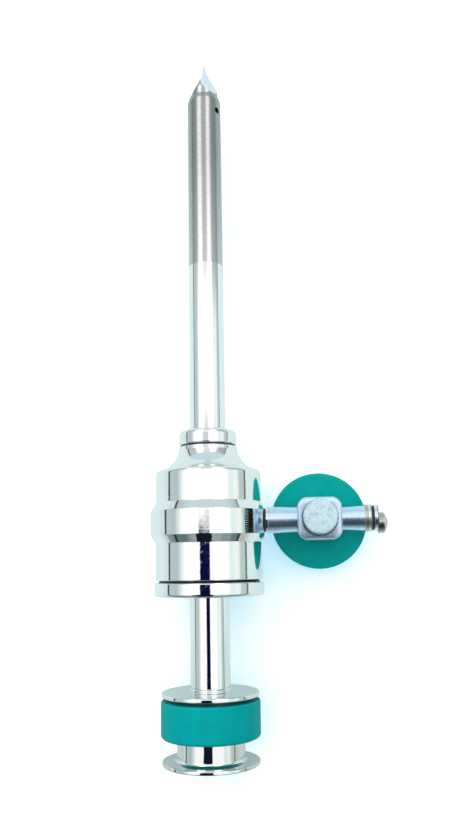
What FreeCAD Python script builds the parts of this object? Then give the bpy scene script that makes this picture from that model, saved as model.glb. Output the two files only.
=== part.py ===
import FreeCAD, Part
import math
import os
import Sketcher
from FreeCAD import Placement, Rotation, Vector

# Laparoscopic trocar, standing on its knob with the tip up.
# Origin: centre of the knob's flat end face. +Z runs along the instrument to the tip.
# +X points along the stopcock's outlet, -Y is the side of the stopcock's knurled nut.

doc = FreeCAD.newDocument("trocar")

# Driving dimensions in millimetres and degrees. Levels are heights above the knob's end face.
sizes = {
    # knob and neck of the obturator
    "knob_flange_rad": 15.5,
    "knob_flange_thick": 1.2,
    "knob_edge": 0.35,
    "hub_foot_rad": 11.4,
    "hub_foot_rise": 0.5,
    "hub_rad": 10.8,
    "grip_seat_rad": 9.0,
    "grip_level": 8.0,
    "grip_tall": 11.9,
    "grip_over": 0.4,
    "grip_edge": 1.2,
    "grip_top_gap": 0.5,
    "thrust_over": 0.15,
    "thrust_thick": 1.4,
    "thrust_edge": 0.4,
    "neck_rad": 6.42,
    "neck_edge": 0.12,
    "neck_foot_rad": 6.75,
    "neck_foot_tall": 1.1,
    "tail_rad": 3.0,
    "tail_depth": 13.0,
    # obturator shaft and its ground tip
    "shaft_rad": 5.0,
    "apex_level": 245.2,
    "tip_land_turn": 77.0,
    "nose_tall": 13.6,
    "dome_bend": 10.0,
    "tip_cone_tall": 7.0,
    "tip_cone_rad": 2.95,
    "grind_bend": 28.0,
    "grind_lean": 4.0,
    "grind_count": 3,
    # cannula tube
    "tube_rad": 6.0,
    "tube_bore_rad": 5.08,
    "tube_foot_level": 96.4,
    "tube_end_level": 230.6,
    "tube_taper_tall": 2.2,
    "tube_end_rad": 5.32,
    "tube_flange_rad": 7.7,
    "tube_flange_thick": 0.95,
    "tube_hub_rise": 0.3,
    "vent_rad": 1.15,
    "vent_level": 224.0,
    "vent_turn": 58.0,
    # collar nut at the housing's neck
    "collar_rad": 9.64,
    "collar_tall": 5.0,
    "collar_edge": 1.5,
    "collar_foot_edge": 0.5,
    "collar_lip": 0.9,
    "gasket_thick": 0.6,
    "gasket_rad": 9.35,
    "spigot_rad": 8.0,
    # valve housing
    "housing_rad": 17.6,
    "band_rise": 1.66,
    "band_foot_level": 71.2,
    "band_tall": 7.9,
    "band_foot_slope": 2.5,
    "band_top_slope": 2.8,
    "shoulder_tall": 6.9,
    "shoulder_edge": 1.3,
    "shoulder_bend": 11.0,
    "shoulder_flat": 2.0,
    "neck_top_rad": 9.8,
    "neck_top_level": 100.6,
    "neck_top_tall": 1.2,
    "housing_bore_rad": 14.0,
    "chamber_rad": 12.9,
    "chamber_roof_level": 90.0,
    "roof_slope": 4.6,
    # screw cap
    "cap_foot_level": 51.6,
    "cap_tall": 4.45,
    "cap_overhang": 0.4,
    "cap_edge": 1.1,
    "cap_spigot_tall": 8.6,
    "cap_floor": 1.8,
    "cap_recess_rad": 11.0,
    "cap_gap": 0.7,
    "cap_ring_section": 1.8,
    # seal stack and flap valve
    "washer_thick": 1.4,
    "seal_tall": 2.65,
    "seal_rad": 10.7,
    "seal_rim": 2.1,
    "cartridge_flange_thick": 2.2,
    "cartridge_bore_rad": 5.9,
    "seat_rad": 6.7,
    "seat_tall": 0.4,
    "magnet_bore_rad": 7.3,
    "magnet_rad": 8.9,
    "magnet_tall": 1.6,
    "hinge_reach": 9.4,
    "lug_thick": 1.5,
    "lug_half": 1.3,
    "knuckle_half": 3.6,
    "knuckle_rad": 1.4,
    "flap_rad": 7.6,
    "flap_thick": 1.2,
    "flap_drop": 1.0,
    "flap_open": 83.0,
    "flap_gasket_rad": 7.0,
    "flap_gasket_thick": 0.5,
    "pin_rad": 0.8,
    # stopcock, measured along its arm from the trocar's axis
    "cock_level": 75.75,
    "spot_face_sink": 1.31,
    "spot_face_rad": 6.2,
    "inlet_rad": 2.65,
    "inlet_depth": 4.1,
    "boss_ring_section": 1.25,
    "boss_washer_thick": 0.75,
    "boss_washer_rad": 4.45,
    "arm_root_rad": 4.35,
    "arm_inner_rad": 4.15,
    "plug_reach": 36.75,
    "block_wide": 14.4,
    "block_tall": 13.6,
    "block_deep": 14.0,
    "block_corner": 3.3,
    "block_edge": 0.5,
    "outlet_root_rad": 3.76,
    "outlet_rad": 4.02,
    "outlet_collar_rad": 4.4,
    "outlet_collar_long": 2.15,
    "outlet_reach": 53.75,
    "gas_bore_rad": 1.5,
    "outlet_gasket_thick": 0.85,
    "outlet_flange_thick": 1.35,
    "outlet_flange_rad": 4.2,
    "nozzle_spigot_rad": 3.5,
    "nozzle_spigot_depth": 5.0,
    "nozzle_rad": 3.37,
    "nozzle_long": 2.92,
    "nozzle_nose_long": 1.0,
    "nozzle_nose_rad": 1.15,
    "nozzle_drop": 1.6,
    "nozzle_bore_rad": 0.9,
    # plug, its handle disc and nut
    "plug_small_rad": 3.5,
    "plug_large_rad": 4.2,
    "plug_shoulder_rad": 5.4,
    "plug_stud_rad": 2.0,
    "plug_square": 4.9,
    "disc_rad": 16.25,
    "disc_thick": 4.0,
    "disc_standoff": 2.5,
    "disc_edge": 0.9,
    "screw_head_rad": 3.4,
    "screw_rad": 1.3,
    "screw_long": 7.0,
    "screw_slot": 0.9,
    "spring_tall": 0.85,
    "spring_thick": 0.45,
    "spring_rad": 5.2,
    "nut_rad": 5.7,
    "nut_tall": 9.8,
    "nut_edge": 0.4,
    "nut_roof": 5.0,
    "knurl_count": 44,
    "knurl_deep": 0.32,
    # clearances
    "seat_gap": 0.05,
    "slide_gap": 0.13,
    "stop_gap": 0.1,
    "turn_gap": 0.15,
    "pin_gap": 0.04,
    "plug_gap": 0.04,
}

sheet = doc.addObject("Spreadsheet::Sheet", "Size")
for row, (name, number) in enumerate(sizes.items(), start=1):
    sheet.set(f"A{row}", name)
    sheet.set(f"B{row}", str(number))
    sheet.setAlias(f"B{row}", name)
doc.recompute()


class Dim:
    # A length that knows its value and the sheet formula it comes from.
    def __init__(self, value, text):
        self.value = value
        self.text = text

    def __add__(self, other):
        other = asDim(other)
        return Dim(self.value + other.value, f"({self.text} + {other.text})")

    def __sub__(self, other):
        other = asDim(other)
        return Dim(self.value - other.value, f"({self.text} - {other.text})")

    def __mul__(self, other):
        other = asDim(other)
        return Dim(self.value * other.value, f"({self.text} * {other.text})")

    def __truediv__(self, other):
        other = asDim(other)
        return Dim(self.value / other.value, f"({self.text} / {other.text})")

    def __neg__(self):
        return Dim(-self.value, f"(-1 * {self.text})")


def asDim(number):
    # Plain numbers may stand beside lengths in a formula.
    if isinstance(number, Dim):
        return number
    return Dim(float(number), repr(float(number)))


def sine(angle):
    return Dim(math.sin(math.radians(angle.value)), f"sin({angle.text} * 1 deg)")


def cosine(angle):
    return Dim(math.cos(math.radians(angle.value)), f"cos({angle.text} * 1 deg)")


def root(square):
    return Dim(math.sqrt(square.value), f"sqrt({square.text})")


class Sizes:
    # Reads every driving dimension from its cell by its alias.
    def __getattr__(self, alias):
        return Dim(float(sheet.get(alias)), f"Size.{alias}")


d = Sizes()
zero = asDim(0)
subparts = []


def newBody(label):
    body = doc.addObject("PartDesign::Body", label)
    body.Label = label
    subparts.append(body)
    return body


def originPart(body, role):
    return next(item for item in body.Origin.OriginFeatures if item.Role == role)


def newSketch(body, role, offset=zero, turn=None):
    # A sketch on one of the body's own origin planes, shifted along or turned about that plane.
    sketch = body.newObject("Sketcher::SketchObject", body.Name + "_sketch")
    sketch.AttachmentSupport = [(originPart(body, role), "")]
    sketch.MapMode = "FlatFace"
    if turn is not None:
        sketch.AttachmentOffset = Placement(Vector(0, 0, 0), Rotation(Vector(0, 1, 0), turn.value))
        sketch.setExpression("AttachmentOffset.Rotation.Angle", turn.text)
    if offset is not zero:
        sketch.setExpression("AttachmentOffset.Base.z", offset.text)
    return sketch


def bindDatum(sketch, index, size):
    sketch.setExpression(f"Constraints[{index}]", size.text)


def pinPoint(sketch, geometry, end, x, y):
    # Holds one end of a line or arc at the coordinates x, y.
    for kind, size in (("DistanceX", x), ("DistanceY", y)):
        index = sketch.addConstraint(Sketcher.Constraint(kind, -1, 1, geometry, end, size.value))
        bindDatum(sketch, index, size)


def arcBetween(start, end, bend):
    # A short arc from start to end. Positive bend has its centre on the left of the way.
    chord = end - start
    left = Vector(-chord.y, chord.x, 0).normalize()
    rise = math.sqrt(bend ** 2 - (chord.Length / 2) ** 2)
    centre = (start + end) / 2 + left * math.copysign(rise, bend)
    angles = [math.atan2(point.y - centre.y, point.x - centre.x) for point in (start, end)]
    if bend < 0:
        angles.reverse()
    return Part.ArcOfCircle(Part.Circle(centre, Vector(0, 0, 1), abs(bend)), angles[0], angles[1])


def outline(sketch, corners):
    # A closed profile through the corners. A corner's third entry bends the way to the next one.
    points = [Vector(asDim(corner[0]).value, asDim(corner[1]).value, 0) for corner in corners]
    ends = []
    for index, corner in enumerate(corners):
        start = points[index]
        end = points[(index + 1) % len(points)]
        bend = corner[2] if len(corner) > 2 else None
        if bend is None:
            edge = sketch.addGeometry(Part.LineSegment(start, end), False)
            ends.append((edge, 1, 2))
        else:
            edge = sketch.addGeometry(arcBetween(start, end, bend.value), False)
            ends.append((edge, 1, 2) if bend.value > 0 else (edge, 2, 1))
            length = bend if bend.value > 0 else -bend
            datum = sketch.addConstraint(Sketcher.Constraint("Radius", edge, length.value))
            bindDatum(sketch, datum, length)
    for index, (edge, first, last) in enumerate(ends):
        follower = ends[(index + 1) % len(ends)]
        sketch.addConstraint(Sketcher.Constraint("Coincident", edge, last, follower[0], follower[1]))
        pinPoint(sketch, edge, first, asDim(corners[index][0]), asDim(corners[index][1]))


def circle(sketch, x, y, radius):
    edge = sketch.addGeometry(Part.Circle(Vector(x.value, y.value, 0), Vector(0, 0, 1), radius.value), False)
    datum = sketch.addConstraint(Sketcher.Constraint("Radius", edge, radius.value))
    bindDatum(sketch, datum, radius)
    pinPoint(sketch, edge, 3, x, y)


def box(x, y, wide, tall):
    # Corners of a rectangle centred on x, y.
    return [(x - wide / 2, y - tall / 2), (x + wide / 2, y - tall / 2),
            (x + wide / 2, y + tall / 2), (x - wide / 2, y + tall / 2)]


def revolve(body, corners, kind="PartDesign::Revolution"):
    # Turns a profile in the body's XZ plane about its Z axis.
    sketch = newSketch(body, "XZ_Plane")
    outline(sketch, corners)
    feature = body.newObject(kind, body.Name + "_turned")
    feature.Profile = sketch
    feature.ReferenceAxis = (sketch, ["V_Axis"])
    feature.Angle = 360
    return feature


def extrude(body, sketch, length, kind="PartDesign::Pad", midplane=False, backward=False):
    feature = body.newObject(kind, body.Name + "_" + kind.split("::")[1].lower())
    feature.Profile = sketch
    feature.Midplane = midplane
    feature.Reversed = backward
    feature.setExpression("Length", length.text)
    return feature


def cut(body, sketch, length, midplane=False, backward=False):
    # A pocket, with a test that it really takes material away.
    doc.recompute()
    before = body.Shape.Volume
    feature = extrude(body, sketch, length, "PartDesign::Pocket", midplane, backward)
    doc.recompute()
    if body.Shape.Volume >= before:
        raise ValueError(f"{feature.Name} cuts nothing")
    return feature


def dress(body, kind, size, rims):
    # Rounds or bevels the circular edges that lie at the given radii and levels.
    doc.recompute()
    base = body.Tip
    names = []
    for index, edge in enumerate(base.Shape.Edges, start=1):
        if not isinstance(edge.Curve, Part.Circle):
            continue
        for radius, level in rims:
            same = abs(edge.Curve.Radius - asDim(radius).value) < 0.002
            if same and abs(edge.Curve.Center.z - asDim(level).value) < 0.002:
                names.append(f"Edge{index}")
    if len(names) < len(rims):
        raise ValueError(f"{body.Label}: a rim to be dressed is missing")
    feature = body.newObject(kind, body.Name + "_edge")
    feature.Base = (base, names)
    feature.setExpression("Radius" if kind.endswith("Fillet") else "Size", size.text)
    return feature


def roundRims(body, size, rims):
    return dress(body, "PartDesign::Fillet", size, rims)


def bevelRims(body, size, rims):
    return dress(body, "PartDesign::Chamfer", size, rims)


def pattern(body, feature, count):
    # Repeats a feature round the body's own Z axis.
    repeat = body.newObject("PartDesign::PolarPattern", body.Name + "_pattern")
    repeat.Originals = [feature]
    repeat.Axis = (originPart(body, "Z_Axis"), [""])
    repeat.Angle = 360
    repeat.setExpression("Occurrences", count.text)
    body.Tip = repeat
    return repeat


def place(part, x=zero, y=zero, z=zero, axis=None, turn=None):
    # Puts a sub-part where it belongs, bound to the sheet.
    if axis is not None:
        part.Placement = Placement(Vector(0, 0, 0), Rotation(axis, turn.value))
        part.setExpression("Placement.Rotation.Angle", turn.text)
    for letter, size in (("x", x), ("y", y), ("z", z)):
        if size is not zero:
            part.setExpression(f"Placement.Base.{letter}", size.text)


def flatRing(label, bore, outer, low, thick):
    body = newBody(label)
    revolve(body, [(bore, low), (outer, low), (outer, low + thick), (bore, low + thick)])
    return body


# Levels and fits that several pieces share.
gripRad = d.knob_flange_rad + d.grip_over
gripTop = d.grip_level + d.grip_tall
thrustRad = d.knob_flange_rad + d.thrust_over
thrustLevel = gripTop + d.grip_top_gap
thrustTop = thrustLevel + d.thrust_thick
neckFoot = thrustTop + d.neck_foot_tall
capFloor = d.cap_foot_level + d.cap_floor
capTop = d.cap_foot_level + d.cap_tall
housingFoot = capTop + d.cap_gap
washerTop = capFloor + d.washer_thick
sealFoot = washerTop + d.turn_gap
sealTop = sealFoot + d.seal_tall
cartridgeFoot = sealTop + d.turn_gap
capSpigotTop = capTop + d.cap_spigot_tall
cartridgeTop = capSpigotTop + d.seat_gap + d.cartridge_flange_thick
chamberFoot = cartridgeTop + d.seat_gap
seatTop = cartridgeTop + d.seat_tall
flapFace = -(d.flap_drop + d.flap_thick / 2)
hingeLevel = seatTop + d.flap_gasket_thick - flapFace
shaftHole = d.shaft_rad + d.slide_gap
tubeSeatBore = d.tube_rad + d.seat_gap
tubeHubRad = d.tube_rad + d.tube_hub_rise
domeFoot = d.apex_level - d.nose_tall
bandRad = d.housing_rad + d.band_rise
bandTop = d.band_foot_level + d.band_tall
capRad = d.housing_rad + d.cap_overhang
ringRad = (d.housing_rad + d.housing_bore_rad + d.cap_ring_section) / 2
spotReach = bandRad - d.spot_face_sink
collarFoot = d.neck_top_level + d.gasket_thick
collarTop = collarFoot + d.collar_tall
tubeFlangeTop = collarTop - d.collar_lip - d.seat_gap
spigotTop = tubeFlangeTop - d.tube_flange_thick
boreTop = d.tube_foot_level - d.seat_gap
inletFace = spotReach + d.boss_ring_section + d.boss_washer_thick
blockHalf = d.block_deep / 2
quarter = asDim(90)


def knobHub():
    # Spool end: flat flange, finger groove and the seat that carries the grip ring.
    body = newBody("knob_hub")
    flangeTop = d.knob_flange_thick
    socket = d.tail_rad + d.seat_gap
    socketFoot = thrustLevel - d.tail_depth
    revolve(body, [
        (zero, zero), (d.knob_flange_rad, zero), (d.knob_flange_rad, flangeTop),
        (d.hub_foot_rad, flangeTop), (d.hub_foot_rad, flangeTop + d.hub_foot_rise),
        (d.hub_rad, flangeTop + d.hub_foot_rise),
        (d.hub_rad, d.grip_level), (d.grip_seat_rad, d.grip_level),
        (d.grip_seat_rad, thrustLevel), (socket, thrustLevel),
        (socket, socketFoot), (zero, socketFoot),
    ])
    bevelRims(body, d.knob_edge, [(d.knob_flange_rad, zero), (d.knob_flange_rad, flangeTop)])


def gripRing():
    body = newBody("grip_ring")
    bore = d.grip_seat_rad + d.seat_gap
    revolve(body, [(bore, d.grip_level), (gripRad, d.grip_level), (gripRad, gripTop), (bore, gripTop)])
    roundRims(body, d.grip_edge, [(gripRad, d.grip_level), (gripRad, gripTop)])


def thrustDisc():
    # Guard disc in front of the grip, with a low raised foot that the neck stands on.
    body = newBody("thrust_disc")
    tailBore = d.tail_rad + d.seat_gap
    shaftBore = d.shaft_rad + d.seat_gap
    revolve(body, [
        (tailBore, thrustLevel), (thrustRad, thrustLevel), (thrustRad, thrustTop),
        (d.neck_foot_rad, thrustTop), (d.neck_foot_rad, neckFoot),
        (shaftBore, neckFoot), (shaftBore, thrustTop), (tailBore, thrustTop),
    ])
    bevelRims(body, d.thrust_edge, [(thrustRad, thrustLevel), (thrustRad, thrustTop)])


def neckSleeve():
    # Stop sleeve: its end meets the washer inside the cap and sets how far the tip stands out.
    body = newBody("neck_sleeve")
    bore = d.shaft_rad + d.seat_gap
    end = capFloor - d.stop_gap
    revolve(body, [(bore, neckFoot), (d.neck_rad, neckFoot), (d.neck_rad, end), (bore, end)])
    bevelRims(body, d.neck_edge, [(d.neck_rad, neckFoot), (d.neck_rad, end)])


def obturatorShaft():
    # Solid rod with a threaded tail. The turned nose is a cone on a dome, and three
    # hollow-ground flats, each an arc of the grinding wheel, leave ridges that meet at the apex.
    body = newBody("obturator_shaft")
    coneFoot = d.apex_level - d.tip_cone_tall
    tailFoot = thrustLevel - d.tail_depth + d.seat_gap
    revolve(body, [
        (zero, tailFoot), (d.tail_rad, tailFoot), (d.tail_rad, thrustTop),
        (d.shaft_rad, thrustTop), (d.shaft_rad, domeFoot, d.dome_bend),
        (d.tip_cone_rad, coneFoot), (zero, d.apex_level),
    ])
    doc.recompute()
    sketch = newSketch(body, "XZ_Plane")
    # The wheel's arc leaves the apex at the lean angle and reaches the rod's side where its
    # distance from the axis is the rod's radius and a little more, so the flat runs out cleanly.
    reach = d.shaft_rad + d.slide_gap
    exitCosine = cosine(d.grind_lean) - reach / d.grind_bend
    exitSine = root(asDim(1) - exitCosine * exitCosine)
    fall = d.grind_bend * (exitSine - sine(d.grind_lean))
    above = d.apex_level + d.slide_gap
    outline(sketch, [
        (zero, d.apex_level, d.grind_bend), (reach, d.apex_level - fall),
        (reach, above), (zero, above),
    ])
    flat = cut(body, sketch, d.shaft_rad * 3, midplane=True)
    pattern(body, flat, d.grind_count)
    place(body, axis=Vector(0, 0, 1), turn=d.tip_land_turn)


def cannulaTube():
    # Pipe with a clamping flange, a short hub in the collar nut's mouth, an end taper and a vent.
    body = newBody("cannula_tube")
    taperFoot = d.tube_end_level - d.tube_taper_tall
    revolve(body, [
        (d.tube_bore_rad, d.tube_foot_level), (d.tube_rad, d.tube_foot_level),
        (d.tube_rad, spigotTop), (d.tube_flange_rad, spigotTop),
        (d.tube_flange_rad, tubeFlangeTop), (tubeHubRad, tubeFlangeTop),
        (tubeHubRad, collarTop), (d.tube_rad, collarTop),
        (d.tube_rad, taperFoot), (d.tube_end_rad, d.tube_end_level),
        (d.tube_bore_rad, d.tube_end_level),
    ])
    doc.recompute()
    sketch = newSketch(body, "XZ_Plane", turn=d.vent_turn)
    circle(sketch, zero, d.vent_level, d.vent_rad)
    cut(body, sketch, d.tube_rad * 3, midplane=True)


def collarNut():
    # Screws onto the housing's spigot and clamps the tube's flange.
    body = newBody("collar_nut")
    bore = d.spigot_rad + d.seat_gap
    lip = collarTop - d.collar_lip
    mouth = tubeHubRad + d.seat_gap
    revolve(body, [
        (bore, collarFoot), (d.collar_rad, collarFoot), (d.collar_rad, collarTop),
        (mouth, collarTop), (mouth, lip), (bore, lip),
    ])
    roundRims(body, d.collar_edge, [(d.collar_rad, collarTop)])
    roundRims(body, d.collar_foot_edge, [(d.collar_rad, collarFoot)])


def valveHousing():
    # Turned shell: screw socket below, valve chamber, band with the gas port, flared shoulder.
    body = newBody("valve_housing")
    lowSlope = d.band_foot_level - d.band_foot_slope
    highSlope = bandTop + d.band_top_slope
    shoulderTop = d.neck_top_level - d.neck_top_tall
    shoulderLevel = shoulderTop - d.shoulder_tall
    roofTop = d.chamber_roof_level + d.roof_slope
    guide = shaftHole
    shoulderTopRad = d.housing_rad - d.shoulder_flat
    revolve(body, [
        (d.housing_bore_rad, housingFoot), (d.housing_rad, housingFoot),
        (d.housing_rad, lowSlope), (bandRad, d.band_foot_level),
        (bandRad, bandTop), (d.housing_rad, highSlope),
        (d.housing_rad, shoulderLevel), (shoulderTopRad, shoulderLevel, -d.shoulder_bend),
        (d.neck_top_rad, shoulderTop), (d.neck_top_rad, d.neck_top_level),
        (d.spigot_rad, d.neck_top_level), (d.spigot_rad, spigotTop),
        (tubeSeatBore, spigotTop), (tubeSeatBore, boreTop),
        (guide, boreTop), (guide, roofTop),
        (d.chamber_rad, d.chamber_roof_level), (d.chamber_rad, chamberFoot),
        (d.housing_bore_rad, chamberFoot),
    ])
    roundRims(body, d.shoulder_edge, [(d.housing_rad, shoulderLevel)])
    bevelRims(body, d.knob_edge, [(d.housing_rad, housingFoot)])
    face = newSketch(body, "YZ_Plane", offset=spotReach)
    circle(face, zero, d.cock_level, d.spot_face_rad)
    cut(body, face, d.spot_face_sink + 1, backward=True)
    port = newSketch(body, "YZ_Plane", offset=spotReach)
    circle(port, zero, d.cock_level, d.inlet_rad + d.seat_gap)
    cut(body, port, spotReach - d.chamber_rad + 1)


def endCap():
    # Smooth screw cap: disc, threaded spigot, recess for the seal and a groove for its ring.
    body = newBody("end_cap")
    mouth = d.neck_rad + d.slide_gap
    spigot = d.housing_bore_rad - d.seat_gap
    grooveFoot = capTop - (d.cap_ring_section - d.cap_gap)
    grooveRim = ringRad + d.seat_gap
    grooveBore = ringRad - d.cap_ring_section - d.seat_gap
    revolve(body, [
        (mouth, d.cap_foot_level), (capRad, d.cap_foot_level), (capRad, capTop),
        (grooveRim, capTop), (grooveRim, grooveFoot), (grooveBore, grooveFoot), (grooveBore, capTop),
        (spigot, capTop), (spigot, capSpigotTop), (d.cap_recess_rad, capSpigotTop),
        (d.cap_recess_rad, capFloor), (mouth, capFloor),
    ])
    roundRims(body, d.cap_edge, [(capRad, d.cap_foot_level)])
    bevelRims(body, d.knob_edge, [(capRad, capTop)])


def lipSeal():
    # Silicone seal: a square rim carries a thin cone that ends in the sealing lip.
    body = newBody("lip_seal")
    rimBore = d.seal_rad - d.seal_rim
    lip = d.shaft_rad + d.seat_gap
    thin = d.flap_gasket_thick
    revolve(body, [
        (rimBore, sealFoot), (d.seal_rad, sealFoot), (d.seal_rad, sealTop), (rimBore, sealTop),
        (rimBore, sealFoot + thin * 2), (lip + thin, sealTop - thin), (lip, sealTop - thin),
        (lip, sealTop - thin * 3), (rimBore - thin, sealFoot),
    ])


def valveCartridge():
    # Bush that holds the seal down, carries the magnet and the flap's hinge, and is the flap's seat.
    body = newBody("valve_cartridge")
    skirt = d.cap_recess_rad - d.seat_gap
    flange = d.housing_bore_rad - d.seat_gap
    flangeFoot = capSpigotTop + d.seat_gap
    magnetFoot = cartridgeTop - d.magnet_tall
    magnetRim = d.magnet_rad + d.seat_gap
    magnetBore = d.magnet_bore_rad - d.seat_gap
    revolve(body, [
        (d.cartridge_bore_rad, cartridgeFoot), (skirt, cartridgeFoot), (skirt, flangeFoot),
        (flange, flangeFoot), (flange, cartridgeTop), (magnetRim, cartridgeTop),
        (magnetRim, magnetFoot), (magnetBore, magnetFoot), (magnetBore, cartridgeTop),
        (d.seat_rad, cartridgeTop), (d.seat_rad, seatTop), (d.cartridge_bore_rad, seatTop),
    ])
    # Two hinge lugs stand beside the magnet, with a cross hole for the pin.
    for side in (1, -1):
        lugs = newSketch(body, "XY_Plane", offset=cartridgeTop)
        middle = (d.knuckle_half + d.turn_gap + d.lug_thick / 2) * side
        outline(lugs, box(-d.hinge_reach, middle, d.lug_half * 2, d.lug_thick))
        extrude(body, lugs, hingeLevel - cartridgeTop + d.lug_half)
    hole = newSketch(body, "XZ_Plane")
    circle(hole, -d.hinge_reach, hingeLevel, d.pin_rad + d.pin_gap)
    cut(body, hole, (d.knuckle_half + d.lug_thick * 2) * 2, midplane=True)


def flapPin():
    # Hinge pin across the two lugs, along Y.
    pin = doc.addObject("Part::Cylinder", "flap_pin")
    pin.Label = "flap_pin"
    long = (d.knuckle_half + d.turn_gap + d.lug_thick) * 2
    pin.setExpression("Radius", d.pin_rad.text)
    pin.setExpression("Height", long.text)
    place(pin, -d.hinge_reach, long / 2, hingeLevel, Vector(1, 0, 0), quarter)
    subparts.append(pin)


def placeOnHinge(body):
    # The flap's own frame has the pin along Y at its origin and the shut flap towards +X.
    place(body, -d.hinge_reach, zero, hingeLevel, Vector(0, -1, 0), d.flap_open)


def valveFlap():
    # Round steel flap with a knuckle on the pin. It stands open beside the obturator.
    body = newBody("valve_flap")
    face = newSketch(body, "XY_Plane", offset=flapFace)
    circle(face, d.hinge_reach, zero, d.flap_rad)
    extrude(body, face, d.flap_thick)
    arm = newSketch(body, "XY_Plane", offset=flapFace)
    outline(arm, box(d.hinge_reach / 2, zero, d.hinge_reach, d.knuckle_half * 2))
    extrude(body, arm, d.flap_thick)
    knuckle = newSketch(body, "XZ_Plane")
    circle(knuckle, zero, zero, d.knuckle_rad)
    extrude(body, knuckle, d.knuckle_half * 2, midplane=True)
    hole = newSketch(body, "XZ_Plane")
    circle(hole, zero, zero, d.pin_rad + d.pin_gap)
    cut(body, hole, d.knuckle_half * 3, midplane=True)
    placeOnHinge(body)


def flapGasket():
    # Thin rubber disc bonded to the flap's sealing face.
    body = newBody("flap_gasket")
    sketch = newSketch(body, "XY_Plane", offset=flapFace - d.flap_gasket_thick)
    circle(sketch, d.hinge_reach, zero, d.flap_gasket_rad)
    extrude(body, sketch, d.flap_gasket_thick)
    placeOnHinge(body)


def alongArm(part):
    # The stopcock's own frame has its Z axis along the arm, from the trocar's axis outwards.
    place(part, z=d.cock_level, axis=Vector(0, 1, 0), turn=quarter)


def stopcockBody():
    # Inlet screw, waisted arm, rounded block, flared outlet arm and its end collar.
    body = newBody("stopcock_body")
    inletEnd = spotReach - d.inlet_depth
    collarReach = d.outlet_reach - d.outlet_collar_long
    blockFoot = d.plug_reach - d.block_wide / 2
    blockTop = d.plug_reach + d.block_wide / 2
    revolve(body, [
        (zero, inletEnd), (d.inlet_rad, inletEnd), (d.inlet_rad, inletFace),
        (d.arm_root_rad, inletFace), (d.arm_inner_rad, blockFoot),
        (d.outlet_root_rad, blockTop), (d.outlet_rad, collarReach),
        (d.outlet_collar_rad, collarReach), (d.outlet_collar_rad, d.outlet_reach),
        (zero, d.outlet_reach),
    ])
    bevelRims(body, d.seat_gap * 4, [(d.arm_root_rad, inletFace)])
    half = d.block_wide / 2
    tall = d.block_tall / 2
    corner = d.block_corner
    block = newSketch(body, "XZ_Plane")
    outline(block, [
        (tall - corner, d.plug_reach - half, corner), (tall, d.plug_reach - half + corner),
        (tall, d.plug_reach + half - corner, corner), (tall - corner, d.plug_reach + half),
        (corner - tall, d.plug_reach + half, corner), (-tall, d.plug_reach + half - corner),
        (-tall, d.plug_reach - half + corner, corner), (corner - tall, d.plug_reach - half),
    ])
    extrude(body, block, d.block_deep, midplane=True)
    doc.recompute()
    bevelBlock(body)
    gas = newSketch(body, "XY_Plane", offset=inletEnd - 1)
    circle(gas, zero, zero, d.gas_bore_rad)
    cut(body, gas, d.outlet_reach - inletEnd + 2, backward=True)
    socket = newSketch(body, "XY_Plane", offset=d.outlet_reach + 1)
    circle(socket, zero, zero, d.nozzle_spigot_rad + d.seat_gap)
    cut(body, socket, d.nozzle_spigot_depth + d.seat_gap + 1)
    taper = body.newObject("PartDesign::SubtractiveCone", "stopcock_taper")
    taper.AttachmentSupport = [(originPart(body, "XZ_Plane"), "")]
    taper.MapMode = "FlatFace"
    large, small = plugRadii(d.plug_gap)
    taper.setExpression("AttachmentOffset.Base.y", d.plug_reach.text)
    taper.setExpression("AttachmentOffset.Base.z", (-blockHalf).text)
    taper.setExpression("Radius1", large.text)
    taper.setExpression("Radius2", small.text)
    taper.setExpression("Height", d.block_deep.text)
    alongArm(body)


def bevelBlock(body):
    # Softens the outline of the block's front and back faces.
    base = body.Tip
    names = []
    for index, edge in enumerate(base.Shape.Edges, start=1):
        bounds = edge.BoundBox
        flat = bounds.YLength < 0.001 and abs(abs(bounds.YMax) - blockHalf.value) < 0.001
        if flat:
            names.append(f"Edge{index}")
    feature = body.newObject("PartDesign::Chamfer", body.Name + "_block_edge")
    feature.Base = (base, names)
    feature.setExpression("Size", d.block_edge.text)


def plugRadii(gap):
    # Radii of the tapered seat where it leaves the block's handle side and nut side.
    return d.plug_large_rad + gap, d.plug_small_rad + gap


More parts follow.
